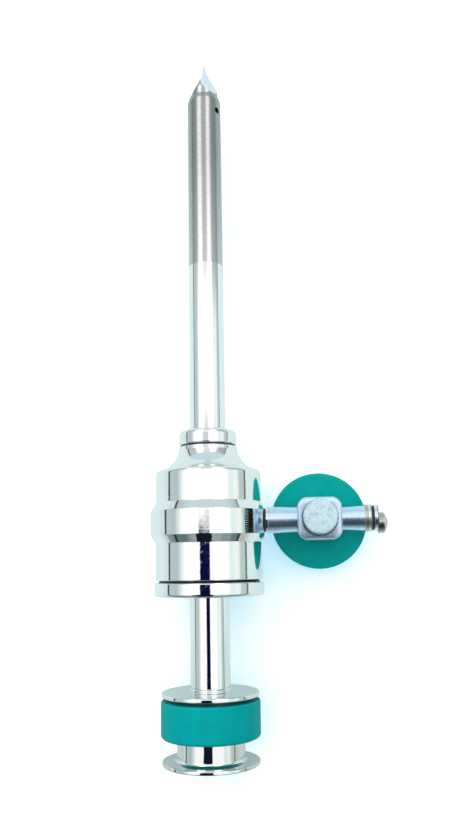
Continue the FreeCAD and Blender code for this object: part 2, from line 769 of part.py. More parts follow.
def outletNozzle():
    # Outlet end: threaded spigot, flange and an eccentric hub with a coned nose and the gas hole.
    body = newBody("outlet_nozzle")
    flangeFoot = d.outlet_reach + d.outlet_gasket_thick
    flangeTop = flangeFoot + d.outlet_flange_thick
    spigotFoot = d.outlet_reach - d.nozzle_spigot_depth
    revolve(body, [
        (zero, spigotFoot), (d.nozzle_spigot_rad, spigotFoot), (d.nozzle_spigot_rad, flangeFoot),
        (d.outlet_flange_rad, flangeFoot), (d.outlet_flange_rad, flangeTop), (zero, flangeTop),
    ])
    hubTop = flangeTop + d.nozzle_long
    hub = newSketch(body, "XY_Plane", offset=flangeTop)
    circle(hub, d.nozzle_drop, zero, d.nozzle_rad)
    extrude(body, hub, d.nozzle_long)
    doc.recompute()
    base = body.Tip
    names = []
    for index, edge in enumerate(base.Shape.Edges, start=1):
        rim = isinstance(edge.Curve, Part.Circle) and abs(edge.Curve.Radius - d.nozzle_rad.value) < 0.001
        if rim and abs(edge.Curve.Center.z - hubTop.value) < 0.001:
            names.append(f"Edge{index}")
    nose = body.newObject("PartDesign::Chamfer", "nozzle_nose")
    nose.Base = (base, names)
    nose.ChamferType = "Two distances"
    nose.setExpression("Size", d.nozzle_nose_long.text)
    nose.setExpression("Size2", (d.nozzle_rad - d.nozzle_nose_rad).text)
    gas = newSketch(body, "XY_Plane", offset=flangeTop)
    circle(gas, zero, zero, d.gas_bore_rad)
    cut(body, gas, d.nozzle_spigot_depth * 2)
    mouth = newSketch(body, "XY_Plane", offset=hubTop)
    circle(mouth, d.nozzle_drop, zero, d.nozzle_bore_rad)
    cut(body, mouth, d.nozzle_long + d.outlet_flange_thick + d.gas_bore_rad)
    alongArm(body)


def armRing(label, bore, outer, low, thick):
    body = flatRing(label, bore, outer, low, thick)
    alongArm(body)
    return body


def bossRing():
    # Round rubber ring squeezed between the housing's spot face and the washer.
    half = d.boss_ring_section / 2
    ring = doc.addObject("Part::Torus", "boss_oring")
    ring.Label = "boss_oring"
    ring.setExpression("Radius1", (d.inlet_rad + d.seat_gap + half).text)
    ring.setExpression("Radius2", half.text)
    place(ring, x=spotReach + half, z=d.cock_level, axis=Vector(0, 1, 0), turn=quarter)
    subparts.append(ring)


def capRing():
    # Round rubber ring in the cap's groove, met by the housing's foot.
    half = d.cap_ring_section / 2
    ring = doc.addObject("Part::Torus", "cap_oring")
    ring.Label = "cap_oring"
    ring.setExpression("Radius1", (ringRad - half).text)
    ring.setExpression("Radius2", half.text)
    place(ring, z=capTop - (d.cap_ring_section - d.cap_gap) + half)
    subparts.append(ring)


def acrossArm(part):
    # The plug's own frame has its Z axis along +Y, from the nut towards the handle disc.
    place(part, d.plug_reach, zero, d.cock_level, Vector(1, 0, 0), -quarter)


nutFoot = -(blockHalf + d.spring_tall)
discFoot = blockHalf + d.disc_standoff
discTop = discFoot + d.disc_thick


def stopcockPlug():
    # Tapered plug with its cross bore, a stud for the nut and a square for the handle disc.
    body = newBody("stopcock_plug")
    large, small = plugRadii(zero)
    shoulderFoot = blockHalf + d.turn_gap
    studEnd = nutFoot - d.nut_tall + d.nut_roof + d.turn_gap
    revolve(body, [
        (zero, studEnd), (d.plug_stud_rad, studEnd), (d.plug_stud_rad, -blockHalf),
        (small, -blockHalf), (large, blockHalf), (large, shoulderFoot),
        (d.plug_shoulder_rad, shoulderFoot), (d.plug_shoulder_rad, discFoot), (zero, discFoot),
    ])
    drive = newSketch(body, "XY_Plane", offset=discFoot)
    outline(drive, box(zero, zero, d.plug_square, d.plug_square))
    extrude(body, drive, d.disc_thick / 2)
    gas = newSketch(body, "YZ_Plane")
    circle(gas, zero, zero, d.gas_bore_rad)
    cut(body, gas, d.plug_large_rad * 3, midplane=True)
    tapped = newSketch(body, "XY_Plane", offset=discTop)
    circle(tapped, zero, zero, d.screw_rad + d.pin_gap)
    cut(body, tapped, d.screw_long + d.turn_gap)
    acrossArm(body)


def handleDisc():
    # Coloured grip disc with a square hole for the plug and a countersunk seat behind.
    body = newBody("handle_disc")
    bore = d.screw_rad + d.turn_gap
    head = d.screw_head_rad + d.seat_gap
    sinkFoot = discTop - (head - bore)
    revolve(body, [
        (bore, discFoot), (d.disc_rad, discFoot), (d.disc_rad, discTop),
        (head, discTop), (bore, sinkFoot),
    ])
    roundRims(body, d.disc_edge, [(d.disc_rad, discFoot), (d.disc_rad, discTop)])
    drive = newSketch(body, "XY_Plane", offset=discFoot)
    side = d.plug_square + d.pin_gap * 2
    outline(drive, box(zero, zero, side, side))
    cut(body, drive, d.disc_thick / 2, backward=True)
    acrossArm(body)


def handleScrew():
    body = newBody("handle_screw")
    coneFoot = discTop - (d.screw_head_rad - d.screw_rad)
    end = discTop - d.screw_long
    revolve(body, [
        (zero, end), (d.screw_rad, end), (d.screw_rad, coneFoot),
        (d.screw_head_rad, discTop), (zero, discTop),
    ])
    slot = newSketch(body, "XY_Plane", offset=discTop)
    outline(slot, box(zero, zero, d.screw_head_rad * 3, d.screw_slot))
    cut(body, slot, d.screw_slot)
    acrossArm(body)


def plugSpring():
    # Dished spring washer that keeps the taper seated.
    body = newBody("plug_spring")
    bore = d.plug_stud_rad + d.slide_gap
    low = -blockHalf - d.seat_gap
    high = nutFoot + d.seat_gap
    revolve(body, [
        (d.spring_rad, low), (d.spring_rad, low - d.spring_thick),
        (bore, high), (bore, high + d.spring_thick),
    ])
    acrossArm(body)


def knurledNut():
    # Round nut with straight V knurling, shut at its outer end.
    body = newBody("knurled_nut")
    end = nutFoot - d.nut_tall
    bore = d.plug_stud_rad + d.pin_gap
    revolve(body, [
        (zero, end), (d.nut_rad, end), (d.nut_rad, nutFoot), (bore, nutFoot),
        (bore, end + d.nut_roof), (zero, end + d.nut_roof),
    ])
    bevelRims(body, d.nut_edge, [(d.nut_rad, end)])
    doc.recompute()
    tooth = newSketch(body, "XY_Plane", offset=end - 1)
    beyond = d.nut_rad + d.knurl_deep
    half = d.knurl_deep * 2
    outline(tooth, [(d.nut_rad - d.knurl_deep, zero), (beyond, -half), (beyond, half)])
    groove = cut(body, tooth, d.nut_tall + 2, backward=True)
    pattern(body, groove, d.knurl_count)
    acrossArm(body)


knobHub()
gripRing()
thrustDisc()
neckSleeve()
obturatorShaft()
cannulaTube()
collarNut()
flatRing("collar_gasket", d.spigot_rad + d.seat_gap, d.gasket_rad, d.neck_top_level, d.gasket_thick)
valveHousing()
endCap()
capRing()
flatRing("stop_washer", shaftHole, d.cap_recess_rad - d.seat_gap, capFloor, d.washer_thick)
lipSeal()
valveCartridge()
flatRing("valve_magnet", d.magnet_bore_rad, d.magnet_rad, cartridgeTop - d.magnet_tall, d.magnet_tall)
flapPin()
valveFlap()
flapGasket()
bossRing()
armRing("boss_washer", d.inlet_rad + d.seat_gap, d.boss_washer_rad,
        spotReach + d.boss_ring_section, d.boss_washer_thick)
stopcockBody()
armRing("outlet_gasket", d.nozzle_spigot_rad + d.seat_gap, d.outlet_flange_rad - d.seat_gap,
        d.outlet_reach, d.outlet_gasket_thick)
outletNozzle()
stopcockPlug()
handleDisc()
handleScrew()
plugSpring()
knurledNut()
doc.recompute()

for item in doc.Objects:
    if "Invalid" in item.State or "Error" in item.State:
        raise ValueError(f"{item.Label} failed to build")
for part in subparts:
    if part.Shape.isNull() or not part.Shape.isValid():
        raise ValueError(f"{part.Label} has no valid shape")

os.makedirs("parts", exist_ok=True)
for part in subparts:
    part.Shape.exportStep(f"parts/{part.Label}.step")
    print(part.Label, len(part.Shape.Solids), round(part.Shape.Volume, 2))
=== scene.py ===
import math
import bpy
import numpy as np
from mathutils import Matrix, Vector
from types import SimpleNamespace


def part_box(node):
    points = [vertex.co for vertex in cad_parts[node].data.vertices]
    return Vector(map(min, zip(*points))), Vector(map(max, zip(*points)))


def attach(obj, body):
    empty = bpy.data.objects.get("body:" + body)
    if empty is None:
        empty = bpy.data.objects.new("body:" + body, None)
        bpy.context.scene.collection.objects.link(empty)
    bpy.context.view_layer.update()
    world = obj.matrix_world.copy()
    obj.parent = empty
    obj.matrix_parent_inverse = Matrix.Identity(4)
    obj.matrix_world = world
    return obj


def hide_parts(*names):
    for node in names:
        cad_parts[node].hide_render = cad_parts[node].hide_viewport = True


# Laparoscopic trocar: mirror-turned steel pieces, satin stopcock, teal polymer grip and handle.
# Lengths in the settings are millimetres, and every mesh is made in metres.
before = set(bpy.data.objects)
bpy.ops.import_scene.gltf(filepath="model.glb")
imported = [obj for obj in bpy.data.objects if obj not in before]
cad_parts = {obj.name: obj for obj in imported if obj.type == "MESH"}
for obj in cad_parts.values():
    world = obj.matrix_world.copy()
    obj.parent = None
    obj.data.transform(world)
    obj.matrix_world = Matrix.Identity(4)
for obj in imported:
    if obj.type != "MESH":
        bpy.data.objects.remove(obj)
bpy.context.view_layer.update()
mm = 0.001
print("frame loaded with", len(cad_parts), "nodes")


# Shapes

# Settings whose entries are read by name.
def named(settings):
    return SimpleNamespace(**settings)


def nodeBox(node):
    low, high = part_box(node)
    return np.array(low) / mm, np.array(high) / mm


# A closed profile with rounded corners. Each corner is radius, height and the radius of its round;
# the round is an arc that touches both runs, with one more point on each run just outside it.
def softProfile(corners, steps=7, support=0.03):
    table = np.array(corners, float)
    here, size = table[:, :2], table[:, 2:]
    before = np.roll(here, 1, axis=0) - here
    after = np.roll(here, -1, axis=0) - here
    lengthBefore = np.linalg.norm(before, axis=1, keepdims=True)
    lengthAfter = np.linalg.norm(after, axis=1, keepdims=True)
    before, after = before / lengthBefore, after / lengthAfter
    half = np.arccos(np.clip((before * after).sum(1, keepdims=True), -1, 1)) / 2
    reach = np.where(size > 0, size / np.tan(half), 0)
    middle = before + after
    span = np.linalg.norm(middle, axis=1, keepdims=True)
    centre = here + middle / np.maximum(span, 1e-9) * size / np.sin(half)
    start, end = here + before * reach - centre, here + after * reach - centre
    share = np.linspace(0, 1, steps)[None, :, None]
    swing = math.pi - 2 * half[:, None, :]
    weight = np.sin(swing)
    arc = (np.sin((1 - share) * swing) * start[:, None] + np.sin(share * swing) * end[:, None]) / weight
    extra = np.where(size > 0, support, 0)
    first = here + before * (reach + extra)
    last = here + after * (reach + extra)
    rows = np.concatenate([first[:, None], arc + centre[:, None], last[:, None]], axis=1)
    rows = np.where(size[:, None] > 0, rows, here[:, None]).reshape(-1, 2)
    apart = np.linalg.norm(rows - np.roll(rows, 1, axis=0), axis=1) > 1e-4
    return rows[apart]


# Points inside an arc of the given radius between two points; a positive radius has its centre on the left.
def arcRun(start, end, bend, count):
    start, end = np.array(start, float), np.array(end, float)
    chord = end - start
    left = np.array([-chord[1], chord[0]]) / np.linalg.norm(chord)
    rise = math.sqrt(bend ** 2 - (chord @ chord) / 4)
    centre = (start + end) / 2 + left * math.copysign(rise, bend)
    angles = np.arctan2(start[1] - centre[1], start[0] - centre[0])
    turn = 2 * math.asin(np.linalg.norm(chord) / 2 / abs(bend)) * math.copysign(1, bend)
    steps = angles + turn * np.linspace(0, 1, count + 2)[1:-1]
    points = centre + abs(bend) * np.stack([np.cos(steps), np.sin(steps)], axis=1)
    return [(x, y, 0) for x, y in points]


# Which way a piece's own axis points: the columns turn (x, y, height) into the frame's axes.
alongZ = np.eye(3)
alongX = np.array([[0, 0, 1], [1, 0, 0], [0, 1, 0]], float)
alongY = np.array([[1, 0, 0], [0, 0, 1], [0, -1, 0]], float)


# Puts rows of points into a mesh of quads. Rows join into a ring when looped, and otherwise each end
# is closed with a fan about the middle of its row. The signed volume turns all faces outwards.
def surfaceObject(name, rows, looped, crease=26):
    count, around = rows.shape[:2]
    points = rows.reshape(-1, 3)
    i = np.arange(count if looped else count - 1)[:, None]
    j = np.arange(around)[None, :]
    nextRow, nextColumn = (i + 1) % count, (j + 1) % around
    quads = np.stack([i * around + j, i * around + nextColumn,
                      nextRow * around + nextColumn, nextRow * around + j], axis=-1).reshape(-1, 4)
    fans = np.zeros((0, 3), int)
    if not looped:
        points = np.vstack([points, rows[0].mean(0), rows[-1].mean(0)])
        column = np.arange(around)
        following = (column + 1) % around
        top = (count - 1) * around
        foot = np.stack([following, column, np.full(around, len(points) - 2)], axis=1)
        roof = np.stack([top + column, top + following, np.full(around, len(points) - 1)], axis=1)
        fans = np.vstack([foot, roof])
    triangles = np.vstack([quads[:, [0, 1, 2]], quads[:, [0, 2, 3]], fans])
    a, b, c = (points[triangles[:, k]] for k in range(3))
    if (np.cross(a, b) * c).sum() < 0:
        quads, fans = quads[:, ::-1], fans[:, ::-1]
    mesh = bpy.data.meshes.new(name)
    mesh.from_pydata((points * mm).tolist(), [], quads.tolist() + fans.tolist())
    mesh.validate()
    smoothMesh(mesh, crease)
    return addObject(name, mesh)


def smoothMesh(mesh, crease=26):
    mesh.shade_smooth()
    mesh.set_sharp_from_angle(angle=math.radians(crease))


def addObject(name, data):
    piece = bpy.data.objects.new(name, data)
    bpy.context.scene.collection.objects.link(piece)
    return piece


# Lathe: the profile point (r, h) carried round by the angle a lands at (r cos a, r sin a, h).
# A profile that meets the axis loses those points and is closed by the fans instead.
def turnedRows(profile, around, axis=alongZ, centre=(0, 0, 0), shape=None):
    angle = np.linspace(0, 2 * math.pi, around, endpoint=False)[None, :]
    radius = profile[:, :1] * np.ones_like(angle)
    height = profile[:, 1:] * np.ones_like(angle)
    if shape is not None:
        radius, height = shape(radius, height, angle)
    local = np.stack([radius * np.cos(angle), radius * np.sin(angle), height], axis=-1)
    return local @ axis.T + np.array(centre, float)


def turnedPiece(name, corners, around=192, axis=alongZ, centre=(0, 0, 0), shape=None, crease=26, steps=7):
    profile = softProfile(corners, steps)
    onAxis = profile[:, 0] < 0.02
    if onAxis.any():
        start = int(np.flatnonzero(onAxis)[-1]) + 1
        profile = np.roll(profile, -start, axis=0)
        profile = profile[profile[:, 0] >= 0.02]
    rows = turnedRows(profile, around, axis, centre, shape)
    return surfaceObject(name, rows, not onAxis.any(), crease)


# A plain ring, with rounds of one size at the bore's corners and of another at the rim's.
def plainRing(name, bore, rad, foot, top, rounds, around, axis=alongZ, centre=(0, 0, 0)):
    return turnedPiece(name, [(bore, foot, rounds[0]), (rad, foot, rounds[1]), (rad, top, rounds[1]),
                              (bore, top, rounds[0])], around, axis, centre)


# A rubber ring: an ellipse in the (r, h) plane, carried round.
def ringPiece(name, radius, height, halfWide, halfTall, around=144, axis=alongZ, centre=(0, 0, 0)):
    angle = np.linspace(0, 2 * math.pi, 28, endpoint=False)
    profile = np.stack([radius + halfWide * np.cos(angle), height + halfTall * np.sin(angle)], axis=1)
    return surfaceObject(name, turnedRows(profile, around, axis, centre), True, 60)


# Cuts one closed piece out of another and keeps the result as plain mesh.
def cutAway(piece, cutter):
    cut = piece.modifiers.new("cut", "BOOLEAN")
    cut.operation = "DIFFERENCE"
    cut.solver = "EXACT"
    cut.object = cutter
    graph = bpy.context.evaluated_depsgraph_get()
    mesh = bpy.data.meshes.new_from_object(piece.evaluated_get(graph))
    mesh.name = piece.name
    piece.modifiers.clear()
    piece.data = mesh
    smoothMesh(mesh)
    bpy.data.objects.remove(cutter)


def joinPieces(name, pieces):
    with bpy.context.temp_override(active_object=pieces[0], selected_editable_objects=pieces):
        bpy.ops.object.join()
    pieces[0].name = name
    return pieces[0]


def finishPiece(piece, body, node, material):
    piece.data.materials.clear()
    piece.data.materials.append(material)
    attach(piece, body)
    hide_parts(node)


# Materials

# Nodes and links go into the tree that was opened last.
opened = {}


def openTree(owner):
    owner.use_nodes = True
    opened["tree"] = owner.node_tree
    return owner.node_tree


def startMaterial(name, colour, metallic, roughness, **extra):
    material = bpy.data.materials.new(name)
    shader = openTree(material).nodes["Principled BSDF"]
    shader.inputs["Base Color"].default_value = (*colour, 1)
    shader.inputs["Metallic"].default_value = metallic
    shader.inputs["Roughness"].default_value = roughness
    for socket, value in extra.items():
        shader.inputs[socket.replace("_", " ")].default_value = value
    return material, shader


def feed(socket, value):
    if isinstance(value, bpy.types.NodeSocket):
        opened["tree"].links.new(value, socket)
    else:
        socket.default_value = value


def addNode(kind, settings=(), inputs=()):
    node = opened["tree"].nodes.new("ShaderNode" + kind)
    for key, value in dict(settings).items():
        setattr(node, key, value)
    for key, value in dict(inputs).items():
        feed(node.inputs[key], value)
    return node


def mapped(vector, **inputs):
    return addNode("Mapping", {"vector_type": "POINT"}, {"Vector": vector, **inputs}).outputs[0]


# Object coordinates, moved and turned to a piece's own axis.
def placeCoordinates(centre=(0, 0, 0), turn=(0, 0, 0)):
    inputs = {0: addNode("TexCoord").outputs["Object"], 1: [c * mm for c in centre]}
    moved = addNode("VectorMath", {"operation": "SUBTRACT"}, inputs).outputs[0]
    return mapped(moved, Rotation=turn)


# Coordinates for tool marks on a turned piece: distance from its axis, nearly nothing round it, height.
def turnedCoordinates(place):
    flat = addNode("VectorMath", {"operation": "MULTIPLY"}, {0: place, 1: (1, 1, 0)})
    radius = addNode("VectorMath", {"operation": "LENGTH"}, {0: flat.outputs[0]}).outputs["Value"]
    parts = addNode("SeparateXYZ", (), {0: place})
    little = times(parts.outputs["X"], 0.02)
    return addNode("CombineXYZ", (), {0: radius, 1: little, 2: parts.outputs["Z"]}).outputs[0]


def axisOf(vector, axis):
    return addNode("SeparateXYZ", (), {0: vector}).outputs[axis]


def noise(vector, scale, detail=3, rough=0.5, stretch=None):
    if stretch is not None:
        vector = mapped(vector, Scale=stretch)
    inputs = {"Vector": vector, "Scale": scale, "Detail": detail, "Roughness": rough}
    return addNode("TexNoise", (), inputs).outputs["Fac"]


def remap(value, low, high, toLow, toHigh, smooth=False):
    inputs = {"Value": value, "From Min": low, "From Max": high, "To Min": toLow, "To Max": toHigh}
    kind = "SMOOTHSTEP" if smooth else "LINEAR"
    return addNode("MapRange", {"interpolation_type": kind}, inputs).outputs[0]


def calculate(operation, first, second=0.0):
    return addNode("Math", {"operation": operation}, {0: first, 1: second}).outputs[0]


def plus(first, second):
    return calculate("ADD", first, second)


def minus(first, second):
    return calculate("SUBTRACT", first, second)


def times(first, second):
    return calculate("MULTIPLY", first, second)


def weighted(first, share, second, other):
    return plus(times(first, share), times(second, other))


def mixNumber(share, first, second):
    return addNode("Mix", {"data_type": "FLOAT"}, {0: share, 2: first, 3: second}).outputs[0]


def mixColour(share, first, second):
    node = addNode("Mix", {"data_type": "RGBA"}, {0: share})
    for key, value in ((6, first), (7, second)):
        feed(node.inputs[key], (*value, 1) if isinstance(value, tuple) else value)
    return node.outputs[2]


def scaleColour(colour, gain):
    return addNode("VectorMath", {"operation": "SCALE"}, {0: colour, "Scale": gain}).outputs[0]


# Roughness that varies with a noise, from the least to the most times its mean.
def unevenly(grain, rough, least=0.85, most=1.2):
    return remap(grain, 0.3, 0.7, rough * least, rough * most)


# The three things a finish varies: its colour, its roughness and its height in fine relief.
def linkFinish(shader, colour, rough, height, strength, depth):
    feed(shader.inputs["Base Color"], colour)
    feed(shader.inputs["Roughness"], rough)
    bump = addNode("Bump", (), {"Height": height, "Strength": strength, "Distance": depth * mm})
    feed(shader.inputs["Normal"], bump.outputs[0])


# Hairline scratches: noise drawn out along one direction and cut to thin lines.
def scratches(place, angle, scale=900):
    lines = noise(mapped(place, Rotation=angle), scale, 2, 0.6, (0.03, 1, 0.6))
    return remap(lines, 0.62, 0.72, 0, 1)


mirrorLook = {
    "light": (0.92, 0.925, 0.915), "dark": (0.86, 0.87, 0.865), "rough": (0.02, 0.055),
    "handled": (0.60, 0.66, 0.66), "handledRough": 0.10, "faceEdge": (0.06, 0.16), "ringScale": 5200,
    "smudgeScale": 160, "scratchTurn": (0.4, 0.3, 0.9), "scratchRough": 0.12, "markDeep": 0.01,
    "rippleScale": 420, "ripple": 0.012}


# Polished steel. The faces named by their heights are flat and a little duller, and their colour is darker:
# painted shade for the shaded surroundings they reflect.
def mirrorSteel(name, centre=(0, 0, 0), turn=(0, 0, 0), faces=()):
    s = named(mirrorLook)
    material, shader = startMaterial(name, s.light, 1, s.rough[1])
    place = placeCoordinates(centre, turn)
    rings = noise(turnedCoordinates(place), s.ringScale, 2, 0.6)
    smudge = noise(place, s.smudgeScale, 4, 0.6)
    lines = scratches(place, s.scratchTurn)
    rough = remap(smudge, 0.35, 0.7, *s.rough)
    rough = plus(rough, times(lines, s.scratchRough))
    colour = mixColour(smudge, s.light, s.dark)
    level = axisOf(place, "Z")
    near, far = (edge * mm for edge in s.faceEdge)
    for face in faces:
        away = calculate("ABSOLUTE", minus(level, face * mm))
        share = remap(away, near, far, 1, 0)
        # Painted shade: on each flat face the colour darkens towards the flat face's shade colour.
        colour = mixColour(share, colour, s.handled)
        rough = plus(rough, times(share, s.handledRough))
    ripple = noise(place, s.rippleScale, 3, 0.5)
    marks = weighted(rings, s.markDeep, lines, s.markDeep)
    linkFinish(shader, colour, rough, plus(marks, ripple), 1.0, s.ripple)
    return material


tubeLook = {
    "border": 165.0, "soft": 0.35, "end": 206.0, "satin": (0.43, 0.43, 0.425),
    "satinDark": (0.37, 0.375, 0.37), "bright": 1.5, "satinRough": 0.265, "polishRough": 0.05,
    "spread": 0.75, "wall": (0.02, 0.02, 0.022), "wallRad": (5.9, 5.96), "wallTop": (226.0, 226.1),
    "patchScale": 900, "smudgeScale": 140, "grainScale": 9000, "ringScale": 5200}


# The cannula is bright near the housing and satin grey from the border on, lightest just past it. Its
# satin runs round the tube, so highlights spread along it. The bore and the vent's wall are painted near
# black: painted shade.
def tubeSteel():
    s = named(tubeLook)
    material, shader = startMaterial("tube steel", mirrorLook["light"], 1, s.polishRough)
    place = placeCoordinates()
    height = axisOf(place, "Z")
    border, soft = s.border * mm, s.soft * mm
    satin = remap(height, border - soft, border + soft, 0, 1, True)
    patch = noise(place, s.patchScale, 4, 0.6)
    grey = mixColour(patch, s.satin, s.satinDark)
    grey = scaleColour(grey, remap(height, border, s.end * mm, s.bright, 1))
    colour = mixColour(satin, mirrorLook["light"], grey)
    turned = turnedCoordinates(place)
    radius = axisOf(turned, "X")
    # Painted shade: inside the bore and the vent, below the tube's top, the colour goes near black.
    inside = remap(radius, *(rad * mm for rad in s.wallRad), 1, 0)
    below = remap(height, *(top * mm for top in s.wallTop), 1, 0)
    colour = mixColour(times(inside, below), colour, s.wall)
    smudge = noise(place, s.smudgeScale)
    polish = unevenly(smudge, s.polishRough, 0.5, 1.5)
    rough = mixNumber(satin, polish, unevenly(patch, s.satinRough, 0.9, 1.15))
    grain = times(noise(place, s.grainScale, 2), satin)
    rings = noise(turned, s.ringScale, 2)
    linkFinish(shader, colour, rough, weighted(grain, 1, rings, 0.3), 0.12, 0.003)
    around = addNode("Tangent", {"direction_type": "RADIAL", "axis": "Z"}).outputs[0]
    feed(shader.inputs["Tangent"], around)
    shader.inputs["Anisotropic"].default_value = s.spread
    shader.inputs["Anisotropic Rotation"].default_value = 0.25
    return material


plainLook = {
    "marks": 0.2, "grain": 0.1, "tone": (0, 1), "bands": (), "ringScale": 3600, "fineScale": 5200,
    "cloudScale": 260}
innerLook = {"light": (0.70, 0.71, 0.72), "dark": (0.58, 0.59, 0.60), "rough": 0.28}
plugLook = {"light": (0.62, 0.62, 0.62), "dark": (0.48, 0.48, 0.49), "rough": 0.25}
magnetLook = {"light": (0.30, 0.30, 0.32), "dark": (0.22, 0.22, 0.24), "rough": 0.4}
armLook = {
    "light": (0.72, 0.88, 1.0), "dark": (0.56, 0.72, 0.92), "rough": 0.28, "marks": 0.12, "grain": 0.12,
    "tone": (0.3, 0.7), "bands": ((51.6, 0.05, (0.60, 0.58, 0.46)), (52.7, 0.1, (0.86, 0.90, 0.92)),
    (53.4, 0.1, (0.45, 0.46, 0.42)))}
nozzleLook = {
    "light": (0.80, 0.88, 0.92), "dark": (0.72, 0.80, 0.86), "rough": 0.2, "marks": 0.12, "grain": 0.12,
    "tone": (0.3, 0.7), "bands": ((55.6, 0.05, (0.30, 0.36, 0.44)), (55.95, 0.05, (0.50, 0.50, 0.48)),
    (57.4, 0.3, (0.62, 0.60, 0.56)))}


# Steel with tool marks round its axis. Each band gives a reach along the arm, its edge's softness and
# the colour from there on.
def turnedSteel(name, look, centre=(0, 0, 0), turn=(0, 0, 0)):
    s = named({**plainLook, **look})
    material, shader = startMaterial(name, s.light, 1, s.rough)
    place = placeCoordinates(centre, turn)
    rings = noise(turnedCoordinates(place), s.ringScale, 3, 0.6)
    fine = noise(place, s.fineScale, 3, 0.65)
    cloud = noise(place, s.cloudScale)
    tone = remap(weighted(rings, 0.4, cloud, 0.6), *s.tone, 0, 1)
    colour = mixColour(tone, s.light, s.dark)
    along = axisOf(placeCoordinates(), "X")
    for reach, soft, shade in s.bands:
        onBand = mixColour(tone, shade, tuple(0.86 * part for part in shade))
        share = remap(along, (reach - soft) * mm, (reach + soft) * mm, 0, 1)
        colour = mixColour(share, colour, onBand)
    height = weighted(rings, s.marks, fine, s.grain)
    linkFinish(shader, colour, unevenly(fine, s.rough), height, 0.35, 0.01)
    return material


nutLook = {
    "face": (0.74, 0.93, 1.0), "pit": (0.34, 0.52, 0.60), "groove": (0.004, 0.010, 0.009),
    "ridge": (0.34, 0.40, 0.40), "rough": 0.42, "faceRad": (5.38, 5.46), "sideRad": (5.52, 5.66),
    "faceDepth": -17.4, "widening": 0.62, "grainScale": 2300, "blotchScale": 520}


# Bead-blasted end face, and a knurled side painted darker, near black in its grooves: painted shade. The
# side's radius is taken less its widening from the face to the arm's level.
def nutSteel(centre, turn):
    s = named(nutLook)
    material, shader = startMaterial("bead-blasted steel", s.face, 1, s.rough)
    place = placeCoordinates(centre, turn)
    radius = axisOf(turnedCoordinates(place), "X")
    grain = noise(place, s.grainScale, 4, 0.7)
    blotch = noise(place, s.blotchScale, 3, 0.6)
    pits = remap(weighted(grain, 0.65, blotch, 0.35), 0.48, 0.66, 0, 1)
    face = mixColour(pits, s.face, s.pit)
    widening = remap(axisOf(place, "Z"), s.faceDepth * mm, 0, 0, s.widening * mm)
    # Painted shade: the knurled side's colour runs from its dark ridges to near black in the grooves.
    ridges = remap(minus(radius, widening), *(rad * mm for rad in s.sideRad), 0, 1)
    side = mixColour(ridges, s.groove, s.ridge)
    outer = remap(radius, *(rad * mm for rad in s.faceRad), 0, 1)
    colour = mixColour(outer, face, side)
    linkFinish(shader, colour, unevenly(grain, s.rough), grain, 0.5, 0.02)
    return material


pointLook = {
    "land": (0.46, 0.47, 0.49), "landDark": (0.38, 0.39, 0.41), "flat": (0.95, 0.97, 1.0),
    "flatDark": (0.74, 0.78, 0.94), "landRough": 0.24, "flatRough": 0.2, "fineScale": 4200,
    "ringScale": 3800, "strokeScale": 900}


# The obturator: satin where it is turned, paler on the three ground flats. The mesh carries an
# attribute, ground, that is 1 on the flats.
def pointSteel():
    s = named(pointLook)
    material, shader = startMaterial("ground steel", s.flat, 1, s.flatRough)
    place = placeCoordinates()
    flat = addNode("Attribute", {"attribute_name": "ground"}).outputs["Fac"]
    fine = noise(place, s.fineScale, 3, 0.6)
    rings = noise(turnedCoordinates(place), s.ringScale, 2)
    strokes = noise(place, s.strokeScale, 3, 0.6, (1, 1, 0.15))
    onLand = mixColour(rings, s.land, s.landDark)
    onFlat = mixColour(remap(strokes, 0.36, 0.64, 0, 1), s.flat, s.flatDark)
    rough = mixNumber(flat, s.landRough, s.flatRough)
    rough = times(rough, unevenly(fine, 1, 0.8))
    colour = mixColour(flat, onLand, onFlat)
    linkFinish(shader, colour, rough, plus(fine, strokes), 0.12, 0.005)
    return material


gripLook = {"light": (0.0, 0.34, 0.35), "dark": (0.0, 0.285, 0.295)}
wheelLook = {"light": (0.0, 0.345, 0.325), "dark": (0.0, 0.285, 0.255)}
polymerLook = {
    "rough": (0.42, 0.55), "shine": 0.04, "cloudScale": 120, "speckScale": 2600, "ringScale": 2400,
    "uprightScale": 420}


def tealPolymer(name, look, centre=(0, 0, 0), turn=(0, 0, 0)):
    s = named({**polymerLook, **look})
    extra = {"IOR": 1.49, "Specular_IOR_Level": s.shine}
    material, shader = startMaterial(name, s.light, 0, s.rough[0], **extra)
    place = placeCoordinates(centre, turn)
    cloud = noise(place, s.cloudScale, 4, 0.55)
    speck = noise(place, s.speckScale, 2)
    rings = noise(turnedCoordinates(place), s.ringScale, 2)
    upright = noise(place, s.uprightScale, 3, 0.6, (1, 1, 0.04))
    tone = remap(weighted(cloud, 0.5, upright, 0.5), 0.35, 0.65, 0, 1)
    colour = mixColour(tone, s.light, s.dark)
    height = weighted(rings, 0.5, speck, 0.4)
    linkFinish(shader, colour, remap(speck, 0.3, 0.7, *s.rough), height, 0.15, 0.01)
    return material


def rubber(name, light, dark, roughness):
    material, shader = startMaterial(name, light, 0, roughness, IOR=1.45)
    grain = noise(placeCoordinates(), 3000, 4, 0.6)
    colour = mixColour(grain, light, dark)
    linkFinish(shader, colour, unevenly(grain, roughness, 0.8), grain, 0.2, 0.01)
    return material


# Places shared by several pieces

discLow, discHigh = nodeBox("handle_disc")
armLevel = (discLow[2] + discHigh[2]) / 2
plugReach = (discLow[0] + discHigh[0]) / 2
armTurn = (0, -math.pi / 2, 0)
plugTurn = (math.pi / 2, 0, 0)
armCentre = (0, 0, armLevel)
plugCentre = (plugReach, 0, armLevel)

